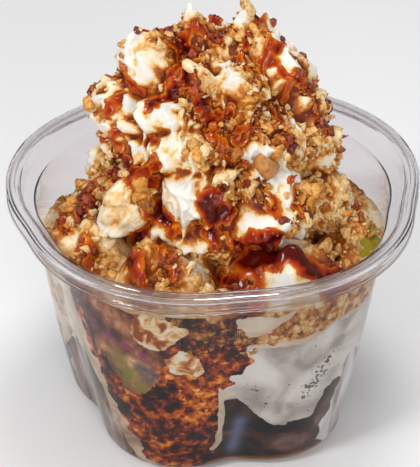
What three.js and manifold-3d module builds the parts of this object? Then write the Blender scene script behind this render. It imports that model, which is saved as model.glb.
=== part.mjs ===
// Ice cream sundae in a clear five-lobed plastic cup.
// Millimetres, +Z up, origin at the centre of the cup's flat base. The front of the sundae faces -Y.
//
// The cup is a thin thermoformed shell with a turned-down rim and a stacking ledge. From the bottom up it
// holds a pool of dark syrup, scoops of vanilla ice cream, a column of syrup-soaked crumble at the front
// left, a layer of biscuit crumbs that runs right through, more ice cream, and a tall mound of whipped
// cream with crumbs and thick caramel on it. Pieces that touch in the real thing keep a small gap here.
import * as THREE from "three";
import { mergeVertices } from "three/addons/utils/BufferGeometryUtils.js";
import Module from "manifold-3d";

const wasm = await Module();
wasm.setup();

// ---------------------------------------------------------------- driving dimensions
const DEGREE = Math.PI / 180;
const GAP = 0.3;
const WALL_GAP = 0.4;

const LOBES = 5;
const NOTCH_ANGLE = 277.4 * DEGREE;
const STEPS_PER_LOBE = 9;
const CUP_HEIGHT = 74.5;
const RIM_RADIUS = 59;
const RIM_DEPTH = 5;
const RIM_WIDTH = 3.8;
const WALL_THICKNESS = 0.8;
const WALL_TOP_RADIUS = 51.4;
const BASE_RADIUS = 44.1;
const BASE_FILLET = 5.1;
const WALL_BULGE = 1.3;
const LEDGE_Z = CUP_HEIGHT - RIM_DEPTH - 0.6;
// How deep the lobes are cut (0 is round, 1 is a full clover) and how soft the notch between two is.
const LOBE_DEPTH = { base: 0.98, top: 0.26 };
const NOTCH_SOFTNESS = { base: 0.12, top: 0.075 };

const CREAM_TOP = 129;

// ---------------------------------------------------------------- small helpers
const mix = (a, b, t) => a + (b - a) * t;
const clamp01 = (t) => Math.min(1, Math.max(0, t));

// A seeded random number generator, 0 to 1.
function randomFrom(seed) {
  let state = seed * 2654435761;
  return () => {
    state = (state + 0x6d2b79f5) | 0;
    let t = Math.imul(state ^ (state >>> 15), 1 | state);
    t = (t + Math.imul(t ^ (t >>> 7), 61 | t)) ^ t;
    return ((t ^ (t >>> 14)) >>> 0) / 4294967296;
  };
}

// Smooth unevenness, -1 to 1, for a point in millimetres and a wavelength.
function unevenness(x, y, z, wavelength, seed = 0) {
  const k = (2 * Math.PI) / wavelength;
  const a = Math.sin(k * x + 1.3 * Math.sin(k * 0.7 * y + seed) + 2.1 * seed);
  const b = Math.sin(k * y + 1.1 * Math.sin(k * 0.8 * z + 1.7 * seed) + 0.9 * seed);
  const c = Math.sin(k * z + 1.2 * Math.sin(k * 0.6 * x - seed) + 1.4 * seed);
  return (a + b + c) / 3;
}

// A closed BufferGeometry as a manifold-3d solid, for joining and cutting.
function solidOf(geometry) {
  const bare = geometry.index ? geometry.toNonIndexed() : geometry.clone();
  bare.deleteAttribute("normal");
  bare.deleteAttribute("uv");
  const merged = mergeVertices(bare, 1e-4);
  return new wasm.Manifold(
    new wasm.Mesh({
      numProp: 3,
      vertProperties: merged.attributes.position.array,
      triVerts: new Uint32Array(merged.index.array),
    }),
  );
}

// A solid's largest piece as a geometry: scraps and sealed bubbles left by a cut are dropped.
function geometryOf(solid) {
  const pieces = solid.decompose().sort((a, b) => b.volume() - a.volume());
  const mesh = pieces[0].getMesh();
  const positions = new Float32Array(mesh.numVert * 3);
  for (let i = 0; i < mesh.numVert; i++) {
    positions.set(mesh.vertProperties.subarray(i * mesh.numProp, i * mesh.numProp + 3), i * 3);
  }
  return new THREE.BufferGeometry()
    .setAttribute("position", new THREE.BufferAttribute(positions, 3))
    .setIndex(new THREE.BufferAttribute(new Uint32Array(mesh.triVerts), 1));
}

const joined = (solids) => solids.reduce((sum, next) => sum.add(next));

// ---------------------------------------------------------------- the cup's lobed outline
// Radius, as a share of the lobe tips' radius, at an angle. Neighbouring lobes are round and meet in a notch.
function lobeShare(angle, depth, softness) {
  const half = Math.PI / LOBES;
  const turn = THREE.MathUtils.euclideanModulo(angle - NOTCH_ANGLE, 2 * half);
  const fromNotch = Math.min(turn, 2 * half - turn);
  const fold = Math.hypot(half, softness) - Math.hypot(fromNotch, softness);
  const lobeRadius = 1 / (1 + depth);
  const offset = depth * lobeRadius;
  return offset * Math.cos(fold) + Math.sqrt(lobeRadius ** 2 - (offset * Math.sin(fold)) ** 2);
}

const wallShare = (z) => clamp01((z - BASE_FILLET) / (LEDGE_Z - BASE_FILLET));

function wallRadius(z) {
  const u = wallShare(z);
  return mix(BASE_RADIUS, WALL_TOP_RADIUS, u) + WALL_BULGE * 4 * u * (1 - u);
}

// Angles round the cup, closer together at the notches.
function lobeAngles() {
  const angles = [];
  const lobeTurn = (2 * Math.PI) / LOBES;
  for (let lobe = 0; lobe < LOBES; lobe++) {
    for (let i = 0; i < STEPS_PER_LOBE; i++) {
      const u = i / STEPS_PER_LOBE;
      const eased = u - (0.55 * Math.sin(2 * Math.PI * u)) / (2 * Math.PI);
      angles.push(NOTCH_ANGLE + (lobe + eased) * lobeTurn);
    }
  }
  return angles;
}

// A closed lobed solid through rings of [radius, z], from a centre point at the start to one at the end.
function lobedGeometry(rings) {
  const angles = lobeAngles();
  const count = angles.length;
  const positions = [0, 0, rings[0][1]];
  for (const [radius, z] of rings) {
    const u = wallShare(z);
    const depth = mix(LOBE_DEPTH.base, LOBE_DEPTH.top, u);
    const softness = mix(NOTCH_SOFTNESS.base, NOTCH_SOFTNESS.top, u);
    for (const angle of angles) {
      const r = radius * lobeShare(angle, depth, softness);
      positions.push(r * Math.cos(angle), r * Math.sin(angle), z);
    }
  }
  const last = positions.length / 3;
  positions.push(0, 0, rings[rings.length - 1][1]);
  const index = [];
  for (let i = 0; i < count; i++) {
    const next = (i + 1) % count;
    index.push(0, 1 + next, 1 + i);
    for (let ring = 0; ring + 1 < rings.length; ring++) {
      const a = 1 + ring * count;
      const b = a + count;
      index.push(a + i, a + next, b + next, a + i, b + next, b + i);
    }
    const top = 1 + (rings.length - 1) * count;
    index.push(last, top + i, top + next);
  }
  return new THREE.BufferGeometry()
    .setAttribute("position", new THREE.BufferAttribute(new Float32Array(positions), 3))
    .setIndex(index);
}

// Rings of a wall moved inwards by inset: the rounded base edge, then the wall up to the top height.
function wallRings(inset, floorZ, topZ, steps, filletTurns = [0, 0.5, 1]) {
  const fillet = BASE_FILLET - inset;
  const rings = filletTurns.map((turn) => [
    BASE_RADIUS - BASE_FILLET + fillet * Math.sin((turn * Math.PI) / 2),
    floorZ + fillet * (1 - Math.cos((turn * Math.PI) / 2)),
  ]);
  const startZ = floorZ + fillet;
  for (let i = 1; i <= steps; i++) {
    const z = mix(startZ, topZ, i / steps);
    rings.push([wallRadius(z) - inset, z]);
  }
  return rings;
}

// ---------------------------------------------------------------- the cup
// Clear plastic, one sheet: base, rounded edge, wall, ledge, collar, and the rim turned out and down.
function cupGeometry() {
  const wall = WALL_THICKNESS;
  const inner = RIM_RADIUS - RIM_WIDTH;
  const outside = wallRings(0, 0, LEDGE_Z - wall, 3);
  const rim = [
    [inner - 0.2, LEDGE_Z],
    [inner + 0.5, CUP_HEIGHT - wall],
    [RIM_RADIUS - wall, CUP_HEIGHT - wall],
    [RIM_RADIUS - wall, CUP_HEIGHT - RIM_DEPTH],
    [RIM_RADIUS, CUP_HEIGHT - RIM_DEPTH],
    [RIM_RADIUS, CUP_HEIGHT - wall],
    [RIM_RADIUS - wall, CUP_HEIGHT],
    [inner, CUP_HEIGHT],
    [inner - 1, LEDGE_Z + wall],
  ];
  const inside = wallRings(wall, wall, LEDGE_Z, 3).reverse();
  return lobedGeometry([...outside, ...rim, ...inside]);
}

// The space inside the cup, a gap short of the wall, up to a height.
function cavity(topZ) {
  const inset = WALL_THICKNESS + WALL_GAP;
  const lower = wallRings(inset, inset, LEDGE_Z - 1, 2, [0, 1]);
  if (topZ <= LEDGE_Z) return solidOf(lobedGeometry(lower));
  const collar = RIM_RADIUS - RIM_WIDTH - 1 - GAP;
  return solidOf(
    lobedGeometry([...lower, [wallRadius(LEDGE_Z) - inset, LEDGE_Z + 1.2], [collar, LEDGE_Z + 1.6], [collar, topZ]]),
  );
}

// ---------------------------------------------------------------- shapes of food
// An uneven ball: radii in X, Y and Z, with bumps of a wavelength, grown by an amount for cutting others.
function lump({ at, radii, detail = 2, bumps = 0.6, wavelength = 9, seed = 1, tilt = 0 }, grow = 0) {
  const geometry = new THREE.IcosahedronGeometry(1, detail);
  const position = geometry.attributes.position;
  const point = new THREE.Vector3();
  const lean = new THREE.Euler(0, tilt, 0);
  for (let i = 0; i < position.count; i++) {
    point.fromBufferAttribute(position, i);
    const out = point.clone().normalize();
    point.multiply(new THREE.Vector3(radii[0] + grow, radii[1] + grow, radii[2] + grow)).applyEuler(lean);
    const wave = unevenness(point.x, point.y, point.z, wavelength, seed);
    point.addScaledVector(out.applyEuler(lean), bumps * wave);
    position.setXYZ(i, point.x + at[0], point.y + at[1], point.z + at[2]);
  }
  return solidOf(geometry);
}

// A layer across the cup between two uneven surfaces, each a function of x and y.
function layer(lowZ, highZ, reach = 60, rings = 3, steps = 15) {
  const positions = [];
  const index = [];
  for (const height of [lowZ, highZ]) {
    positions.push(0, 0, height(0, 0));
    for (let ring = 1; ring <= rings; ring++) {
      for (let i = 0; i < steps; i++) {
        const angle = (2 * Math.PI * i) / steps;
        const r = (reach * ring) / rings;
        const x = r * Math.cos(angle);
        const y = r * Math.sin(angle);
        positions.push(x, y, height(x, y));
      }
    }
  }
  const side = 1 + rings * steps;
  const at = (face, ring, i) => face * side + (ring ? 1 + (ring - 1) * steps + (i % steps) : 0);
  for (let i = 0; i < steps; i++) {
    for (const face of [0, 1]) {
      const order = (a, b, c) => (face ? index.push(a, b, c) : index.push(a, c, b));
      order(at(face, 0, i), at(face, 1, i), at(face, 1, i + 1));
      for (let ring = 1; ring < rings; ring++) {
        order(at(face, ring, i), at(face, ring + 1, i), at(face, ring + 1, i + 1));
        order(at(face, ring, i), at(face, ring + 1, i + 1), at(face, ring, i + 1));
      }
    }
    const [a, b] = [at(0, rings, i), at(0, rings, i + 1)];
    const [c, d] = [at(1, rings, i + 1), at(1, rings, i)];
    index.push(a, b, c, a, c, d);
  }
  const geometry = new THREE.BufferGeometry()
    .setAttribute("position", new THREE.BufferAttribute(new Float32Array(positions), 3))
    .setIndex(index);
  return solidOf(geometry);
}

const level = (z) => () => z;
const below = (height) => layer(level(-20), height);
const above = (height) => layer(height, level(160));
const raised = (height, by) => (x, y) => height(x, y) + by;

// ---------------------------------------------------------------- syrup, ice cream and crumble in the cup
// 0 at the front wall, rising to 1 from the middle backwards, where everything has sunk lower.
function sunk(y) {
  const t = Math.min(Math.max((y + 26) / 26, 0), 1);
  return t * t * (3 - 2 * t);
}
// The syrup pool's surface, and the two faces of the crumb layer, which rises to the right and the front.
const poolSurface = (x, y) => 30 + 1.2 * unevenness(x, y, 0, 34, 2);
const crumbsUnder = (x, y) => 48.5 + 0.11 * x - 0.03 * y - 6 * sunk(y) + 1.2 * unevenness(x, y, 0, 26, 3);
const crumbsOver = (x, y) => crumbsUnder(x, y) + 6.5 + 1.0 * unevenness(x, y, 0, 19, 4);
// The upper ice cream is high at the front and low at the back, where the cup's wall stays bare.
const bedSurface = (x, y) => 61 - 0.06 * y - 4 * sunk(y) + 1.2 * unevenness(x, y, 0, 24, 5);

const SCOOP_RIGHT = [
  { at: [20, -25, 50], radii: [22, 26, 31], seed: 3, wavelength: 14 },
  { at: [29, -14, 56], radii: [24, 26, 23], seed: 4, wavelength: 14 },
];
const SCOOP_LEFT = [
  { at: [-33, -15, 46], radii: [20, 22, 30], seed: 6, wavelength: 14 },
  { at: [-29, -27, 22], radii: [9, 13, 21], detail: 1, seed: 7, wavelength: 12 },
];
const CRUMBLE_COLUMN = [
  { at: [-14, -33, 18], radii: [17, 17, 25], seed: 8, bumps: 1.2, wavelength: 10 },
  { at: [-4, -38, 41], radii: [9, 12, 18], detail: 1, seed: 9, bumps: 1.2, wavelength: 10 },
];
// Spoonfuls of the upper ice cream: two against the front wall and more round the foot of the mound.
const TOP_SPOONFULS = [
  { at: [17, -31, 60], radii: [17, 17, 12.5], seed: 11, wavelength: 12 },
  { at: [-13, -34, 61], radii: [14, 13, 11], seed: 12, wavelength: 11 },
  { at: [-33, -20, 60], radii: [13, 14, 12], seed: 13, wavelength: 11 },
  { at: [38, -14, 58], radii: [12, 14, 11], detail: 1, seed: 15 },
];

const grown = (lumps, by) => joined(lumps.map((one) => lump(one, by)));

// ---------------------------------------------------------------- the whipped cream mound
// The mound is the skin of many overlapping spoonfuls, seen from a point inside it.
const CREAM_HEART = [0, 0, 86];
const CREAM_FACES = 9;
const CREAM_CORE = [
  { at: [1, -1, 73], radii: [34, 34, 17] },
  { at: [0, 1, 91], radii: [31, 29, 19] },
  { at: [-3, 1, 105], radii: [22, 19, 15] },
];
// Spoonfuls that stand out, from the peaks at the top down to the foot. Tilt leans the top to the right.
const CREAM_SPOONFULS = [
  { at: [-18, -3, 113], radii: [8, 8.5, 9.5], tilt: 0.3 },
  { at: [-6, 0, 119], radii: [4, 5, 7] },
  { at: [7, 3, 118], radii: [5.5, 6.5, 9] },
  { at: [13, 3, 116], radii: [5.5, 6, 9], tilt: -0.2 },
  { at: [18, 0, 108], radii: [8, 8.5, 10], tilt: -0.35 },
  { at: [22, -1, 97], radii: [9.5, 9, 10] },
  { at: [-5, -14, 108], radii: [4, 4.5, 12], tilt: 0.1 },
  { at: [7, -13, 107], radii: [5.5, 5.5, 12], tilt: -0.15 },
  { at: [-26, -6, 101], radii: [8.5, 8, 9], tilt: 0.3 },
  { at: [-12, -18, 104], radii: [10, 6, 6], tilt: 0.3 },
  { at: [-8, -22, 96], radii: [11, 8, 8], tilt: 0.4 },
  { at: [-4, -27, 84], radii: [12, 8, 11], tilt: 0.35 },
  { at: [-24.5, -25.5, 79], radii: [7, 5, 10], tilt: 0.3 },
  { at: [13, -18, 95], radii: [10, 8, 8] },
  { at: [14, -24, 86], radii: [11, 9, 8] },
  { at: [13, -30, 79], radii: [12, 8, 4.5], tilt: -0.15 },
  { at: [26.5, -4, 87], radii: [9, 9, 11], tilt: -0.2 },
  { at: [31, -9, 72], radii: [9.5, 10, 9.5] },
  { at: [-30, -10, 72], radii: [9, 9, 8.5] },
  { at: [-34, -14, 66], radii: [8, 8.5, 8] },
];
// The back and sides repeat the same kind of spoonfuls, tier by tier.
const CREAM_TIERS = [
  { z: 73, out: 28, size: 9, count: 6 },
  { z: 87, out: 24, size: 9, count: 6 },
  { z: 101, out: 20, size: 9, count: 5 },
  { z: 113, out: 11, size: 7.5, count: 4 },
];
const BACK_SWEEP = { from: -12, to: 196 };

function tierSpoonfuls() {
  const random = randomFrom(41);
  return CREAM_TIERS.flatMap(({ z, out, size, count }, tier) =>
    Array.from({ length: count }, (_, i) => {
      const turn = mix(BACK_SWEEP.from, BACK_SWEEP.to, (i + 0.3 + 0.4 * random() + 0.25 * (tier % 2)) / count);
      const reach = out + 3 * (random() - 0.5);
      const across = size * (0.85 + 0.3 * random());
      return {
        at: [
          reach * Math.cos(turn * DEGREE),
          reach * Math.sin(turn * DEGREE),
          z + 5 * (random() - 0.5),
        ],
        radii: [across, across, size * (0.75 + 0.5 * random())],
        tilt: 0.5 * (random() - 0.5),
      };
    }),
  );
}

// How far a ray from the heart runs before it leaves an ellipsoid for good, or 0 if it misses.
function reachThrough(direction, { at, radii, tilt = 0 }) {
  const turn = new THREE.Euler(0, -tilt, 0);
  const squash = new THREE.Vector3(1 / radii[0], 1 / radii[1], 1 / radii[2]);
  const from = new THREE.Vector3(...CREAM_HEART).sub(new THREE.Vector3(...at)).applyEuler(turn).multiply(squash);
  const along = direction.clone().applyEuler(turn).multiply(squash);
  const a = along.lengthSq();
  const b = from.dot(along);
  const root = b * b - a * (from.lengthSq() - 1);
  return root < 0 ? 0 : (-b + Math.sqrt(root)) / a;
}

function creamMound() {
  const spoonfuls = [...CREAM_CORE, ...CREAM_SPOONFULS, ...tierSpoonfuls()];
  const geometry = new THREE.IcosahedronGeometry(1, CREAM_FACES);
  const position = geometry.attributes.position;
  const direction = new THREE.Vector3();
  for (let i = 0; i < position.count; i++) {
    direction.fromBufferAttribute(position, i).normalize();
    const reach = Math.max(...spoonfuls.map((one) => reachThrough(direction, one)));
    const [x, y, z] = direction.toArray().map((part, axis) => CREAM_HEART[axis] + part * reach);
    const ripple = 0.7 * unevenness(x, y, z, 9, 20);
    position.setXYZ(i, x + direction.x * ripple, y + direction.y * ripple, z + direction.z * ripple);
  }
  return solidOf(geometry);
}

// Peaks left where the spoon pulled away.
const CREAM_PEAKS = [
  { foot: [-6, 0, 121], tip: [-6, -0.5, CREAM_TOP], radius: 2.8 },
  { foot: [8, 3, 122], tip: [7, 2.5, CREAM_TOP - 0.6], radius: 3.4 },
  { foot: [13, 3.5, 119], tip: [14.5, 4, CREAM_TOP - 2.5], radius: 3 },
];

function peak({ foot, tip, radius }) {
  const from = new THREE.Vector3(...foot);
  const to = new THREE.Vector3(...tip);
  const along = to.clone().sub(from).normalize();
  const geometry = new THREE.CylinderGeometry(0.3 * radius, radius, from.distanceTo(to) + radius, 7);
  geometry.applyQuaternion(new THREE.Quaternion().setFromUnitVectors(new THREE.Vector3(0, 1, 0), along));
  const centre = from.clone().add(to).multiplyScalar(0.5).addScaledVector(along, -radius / 2);
  geometry.translate(centre.x, centre.y, centre.z);
  return solidOf(geometry);
}

// ---------------------------------------------------------------- what lies on a surface
// A function that gives the first point, and the face's normal there, where a line meets a solid.
function surfaceFinder(solid) {
  const mesh = new THREE.Mesh(geometryOf(solid), new THREE.MeshBasicMaterial({ side: THREE.DoubleSide }));
  const ray = new THREE.Raycaster();
  return (from, towards) => {
    ray.set(from, towards.clone().sub(from).normalize());
    const [hit] = ray.intersectObject(mesh);
    return hit ? { point: hit.point, normal: hit.face.normal.clone() } : null;
  };
}

// A crumb of broken biscuit or nut: a jagged ball of twenty triangles.
function crumb(centre, size, random) {
  const geometry = new THREE.IcosahedronGeometry(1, 0);
  const position = geometry.attributes.position;
  const seed = random() * 20;
  const stretch = [0.8 + 0.5 * random(), 0.8 + 0.5 * random(), 0.7 + 0.4 * random()];
  for (let i = 0; i < position.count; i++) {
    const [x, y, z] = [position.getX(i), position.getY(i), position.getZ(i)];
    const jag = 1 + 0.22 * unevenness(x * 3, y * 3, z * 3, 5, seed);
    position.setXYZ(i, x * size * jag * stretch[0], y * size * jag * stretch[1], z * size * jag * stretch[2]);
  }
  geometry.applyMatrix4(new THREE.Matrix4().makeRotationFromEuler(new THREE.Euler(seed, seed * 2, seed * 3)));
  geometry.translate(centre.x, centre.y, centre.z);
  return solidOf(geometry);
}

// A thick run of caramel: a flattened tube that follows the surface down from a start point.
function caramelRun(surface, { angle, sway, top, bottom, width }) {
  const points = [];
  const steps = 9;
  for (let i = 0; i <= steps; i++) {
    const t = i / steps;
    const z = mix(top, bottom, t);
    const turn = (angle + sway * Math.sin(3 * t)) * DEGREE;
    const out = new THREE.Vector3(Math.cos(turn) * 80, Math.sin(turn) * 80, z + 14);
    const hit = surface(out, new THREE.Vector3(0, 0, z - 4));
    if (hit) points.push(hit.point.clone());
  }
  const path = new THREE.CatmullRomCurve3(points);
  const section = new THREE.Shape();
  section.absellipse(0, 0, width / 2, width / 2, 0, 2 * Math.PI);
  const settings = { steps: 8, curveSegments: 3, extrudePath: path, bevelEnabled: false };
  return solidOf(new THREE.ExtrudeGeometry(section, settings));
}

const CARAMEL_RUNS = [
  { angle: 256, sway: 6, top: 117, bottom: 100, width: 5 },
  { angle: 274, sway: 7, top: 98, bottom: 84, width: 6 },
  { angle: 300, sway: 7, top: 119, bottom: 98, width: 5 },
  { angle: 232, sway: 6, top: 96, bottom: 76, width: 5 },
  { angle: 195, sway: -6, top: 108, bottom: 86, width: 5 },
  { angle: 345, sway: 6, top: 110, bottom: 84, width: 5 },
  { angle: 60, sway: -7, top: 114, bottom: 84, width: 5 },
  { angle: 130, sway: 6, top: 114, bottom: 84, width: 5 },
];
const CREAM_CRUMBS = { count: 48, lowest: 72, highest: 118, size: 2.1, seed: 5 };

// Crumbs pressed half into a surface, spread evenly round it by the golden angle.
function crumbsOn(surface, { count, lowest, highest, size, seed }) {
  const random = randomFrom(seed);
  const golden = 137.508 * DEGREE;
  const crumbs = [];
  for (let i = 0; i < count; i++) {
    const z = mix(lowest, highest, (i + 0.5) / count) + 3 * (random() - 0.5);
    const angle = i * golden + 0.3 * random();
    const from = new THREE.Vector3(80 * Math.cos(angle), 80 * Math.sin(angle), z + 16);
    const hit = surface(from, new THREE.Vector3(0, 0, z - 6));
    if (hit) crumbs.push(crumb(hit.point.addScaledVector(hit.normal, 0.3), size * (0.7 + 0.6 * random()), random));
  }
  return crumbs;
}

// ---------------------------------------------------------------- nut clusters, as large as berries
const CLUSTERS = {
  praline_left: { angle: 242, z: 86, radius: 3.8 },
  peanut_right: { angle: 300, z: 94, radius: 3.4 },
  praline_right: { angle: 315, z: 82, radius: 3.3 },
  praline_back: { angle: 80, z: 92, radius: 3.6 },
  praline_side: { angle: 170, z: 92, radius: 3.4 },
};

function clusterLump(surface, { angle, z, radius }, seed) {
  const out = new THREE.Vector3(80 * Math.cos(angle * DEGREE), 80 * Math.sin(angle * DEGREE), z + 10);
  const { point } = surface(out, new THREE.Vector3(0, 0, z - 4));
  return { at: point.toArray(), radii: [radius, radius * 0.9, radius * 1.1], detail: 1, seed, bumps: 0.5, wavelength: 3.5 };
}

// ---------------------------------------------------------------- putting the sundae together
const inCup = cavity(LEDGE_Z);
const inCupAndCollar = cavity(CUP_HEIGHT - 1);

const crumbLayer = inCup.intersect(layer(crumbsUnder, crumbsOver));
const underCrumbs = inCup.intersect(below(raised(crumbsUnder, -GAP)));
const overCrumbs = inCupAndCollar.subtract(below(raised(crumbsOver, GAP)));

const scoopRight = grown(SCOOP_RIGHT, 0).intersect(underCrumbs);
const scoopLeft = grown(SCOOP_LEFT, 0).intersect(underCrumbs).subtract(grown(SCOOP_RIGHT, GAP));
const crumbleColumn = grown(CRUMBLE_COLUMN, 0)
  .intersect(underCrumbs)
  .subtract(grown([...SCOOP_RIGHT, ...SCOOP_LEFT], GAP));
const taken = grown([...SCOOP_RIGHT, ...SCOOP_LEFT, ...CRUMBLE_COLUMN], GAP);
const scoopBack = underCrumbs.intersect(above(poolSurface)).subtract(taken);
const syrupPool = inCup.intersect(below(raised(poolSurface, -GAP))).subtract(taken);
const topIceCream = overCrumbs.intersect(below(bedSurface).add(grown(TOP_SPOONFULS, 0)));

const mound = creamMound().add(joined(CREAM_PEAKS.map(peak)));
const onCream = surfaceFinder(mound);
const clusters = Object.entries(CLUSTERS).map(([name, place], i) => ({
  name,
  lump: clusterLump(onCream, place, 70 + i),
}));
const whippedCream = joined([
  mound,
  ...CARAMEL_RUNS.map((run) => caramelRun(onCream, run)),
  ...crumbsOn(onCream, CREAM_CRUMBS),
])
  .subtract(below(raised(bedSurface, GAP)))
  .subtract(grown(TOP_SPOONFULS, GAP))
  .subtract(joined(clusters.map((one) => lump(one.lump, GAP))));

// ---------------------------------------------------------------- materials
function material(color, roughness, opacity = 1) {
  return new THREE.MeshStandardMaterial({ color, roughness, metalness: 0, opacity, transparent: opacity < 1 });
}
const clearPlastic = material("#dfe4e8", 0.08, 0.25);
const darkSyrup = material("#3a1a10", 0.12);
const vanilla = material("#efe6d2", 0.5);
const speckledVanilla = material("#e6e1d6", 0.5);
const syrupCrumble = material("#8a3c0e", 0.3);
const biscuitCrumb = material("#c78f4e", 0.85);
const whipped = material("#f8f2e4", 0.45);
const praline = material("#b8762f", 0.5);

const sundae = new THREE.Group();
function add(name, geometry, finish) {
  const mesh = new THREE.Mesh(geometry, finish);
  mesh.name = name;
  sundae.add(mesh);
}

add("cup", cupGeometry(), clearPlastic);
add("syrup_pool", geometryOf(syrupPool), darkSyrup);
add("scoop_right", geometryOf(scoopRight), speckledVanilla);
add("scoop_left", geometryOf(scoopLeft), vanilla);
add("scoop_back", geometryOf(scoopBack), vanilla);
add("crumble_column", geometryOf(crumbleColumn), syrupCrumble);
add("crumb_layer", geometryOf(crumbLayer), biscuitCrumb);
add("top_ice_cream", geometryOf(topIceCream), vanilla);
add("whipped_cream", geometryOf(whippedCream), whipped);
for (const { name, lump: shape } of clusters) add(name, geometryOf(lump(shape)), praline);

export default sundae;
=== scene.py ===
import math

import bmesh
import bpy
import numpy as np
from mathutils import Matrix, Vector


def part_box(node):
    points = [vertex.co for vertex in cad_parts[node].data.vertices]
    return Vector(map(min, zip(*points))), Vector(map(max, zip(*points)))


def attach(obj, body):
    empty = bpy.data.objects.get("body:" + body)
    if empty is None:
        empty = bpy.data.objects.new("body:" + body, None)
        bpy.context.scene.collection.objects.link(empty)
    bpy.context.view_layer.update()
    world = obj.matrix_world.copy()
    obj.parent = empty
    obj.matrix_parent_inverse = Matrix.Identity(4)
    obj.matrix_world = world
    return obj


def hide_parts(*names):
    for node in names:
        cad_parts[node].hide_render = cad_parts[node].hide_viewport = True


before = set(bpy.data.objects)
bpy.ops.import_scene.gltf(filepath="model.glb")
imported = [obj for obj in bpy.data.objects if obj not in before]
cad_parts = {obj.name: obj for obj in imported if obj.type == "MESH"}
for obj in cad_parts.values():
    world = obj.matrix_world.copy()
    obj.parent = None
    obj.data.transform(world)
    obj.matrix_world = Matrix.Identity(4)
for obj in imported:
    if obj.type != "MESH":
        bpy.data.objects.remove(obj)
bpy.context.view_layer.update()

# ---------------------------------------------------------------- camera, floor and light
# A long lens looks down on the front of the sundae from a little above the mound.
# The sundae stands on a plain white sweep, between two soft panels and under a third.
MM = 0.001
CAMERA_PLACE = Vector((-1.303, -392.66, 328.42)) * MM
CAMERA_PITCH = math.radians(34.84)
FRAME_HEIGHT = 467
FOCAL_PIXELS = 1666.6
SENSOR = 36.0

camera_data = bpy.data.cameras.new("camera")
camera_data.sensor_width = SENSOR
camera_data.lens = FOCAL_PIXELS * SENSOR / FRAME_HEIGHT
camera = bpy.data.objects.new("camera", camera_data)
camera.location = CAMERA_PLACE
camera.rotation_euler = (math.pi / 2 - CAMERA_PITCH, 0, 0)
bpy.context.collection.objects.link(camera)
bpy.context.scene.camera = camera
bpy.context.scene.view_settings.view_transform = "Standard"


def linear(hex_colour, alpha=1.0):
    """An sRGB hex colour as the linear numbers that a shader takes."""
    parts = [int(hex_colour[i : i + 2], 16) / 255 for i in (1, 3, 5)]
    return tuple(p / 12.92 if p <= 0.04045 else ((p + 0.055) / 1.055) ** 2.4 for p in parts) + (alpha,)


def add_node(material, kind, settings=None, links=None, stops=None):
    """Adds a node, sets its inputs, properties and ramp stops, and links other sockets to it."""
    tree = material.node_tree
    node = tree.nodes.new(kind)
    for key, value in (settings or {}).items():
        if isinstance(key, int) or key in node.inputs:
            node.inputs[key].default_value = value
        else:
            setattr(node, key, value)
    for key, socket in (links or {}).items():
        tree.links.new(socket, node.inputs[key])
    for number, (position, colour) in enumerate(stops or []):
        elements = node.color_ramp.elements
        element = elements[number] if number < 2 else elements.new(position)
        element.position = position
        element.color = linear(colour)
    return node


def new_material(name):
    """An empty node material and its output."""
    material = bpy.data.materials.new(name)
    material.use_nodes = True
    material.node_tree.nodes.clear()
    return material, material.node_tree.nodes.new("ShaderNodeOutputMaterial")


def finish_material(material, output, settings, links=None):
    """The one shader of a material, wired to its output."""
    shader = add_node(material, "ShaderNodeBsdfPrincipled", settings, links)
    material.node_tree.links.new(shader.outputs[0], output.inputs["Surface"])
    return material


def mesh_object(name, vertices, faces, material=None):
    """A smooth-shaded object from vertices in millimetres."""
    mesh = bpy.data.meshes.new(name)
    face_lists = faces.tolist() if isinstance(faces, np.ndarray) else faces
    mesh.from_pydata((np.asarray(vertices) * MM).tolist(), [], face_lists)
    mesh.shade_smooth()
    made = bpy.data.objects.new(name, mesh)
    bpy.context.collection.objects.link(made)
    if material:
        mesh.materials.append(material)
    return made


SWEEP_SIZE = 3000.0
sweep_paint, sweep_output = new_material("matt white paint")
finish_material(sweep_paint, sweep_output, {"Base Color": linear("#f4f4f4"), "Roughness": 0.9})
floor = mesh_object(
    "floor",
    [(x * SWEEP_SIZE, y * SWEEP_SIZE, -0.05) for x, y in ((-1, -1), (1, -1), (1, 1), (-1, 1))],
    [(0, 1, 2, 3)],
    sweep_paint,
)

LIGHT_AIM = Vector((0, 0, 70)) * MM
SOFT_PANELS = {
    "key": {"place": (-380, -330, 520), "size": 150, "watts": 1.8},
    "fill": {"place": (160, -620, 260), "size": 240, "watts": 1.5},
    "top": {"place": (60, 120, 640), "size": 200, "watts": 1.3},
}
for panel_name, panel in SOFT_PANELS.items():
    light_data = bpy.data.lights.new(panel_name, "AREA")
    light_data.size = panel["size"] * MM
    light_data.energy = panel["watts"]
    light = bpy.data.objects.new(panel_name, light_data)
    light.location = Vector(panel["place"]) * MM
    light.rotation_euler = (LIGHT_AIM - light.location).to_track_quat("-Z", "Y").to_euler()
    light.visible_camera = False
    bpy.context.collection.objects.link(light)
world = bpy.data.worlds.new("studio")
world.use_nodes = True
world.node_tree.nodes["Background"].inputs["Color"].default_value = linear("#ffffff")
world.node_tree.nodes["Background"].inputs["Strength"].default_value = 0.45
bpy.context.scene.world = world

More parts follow.
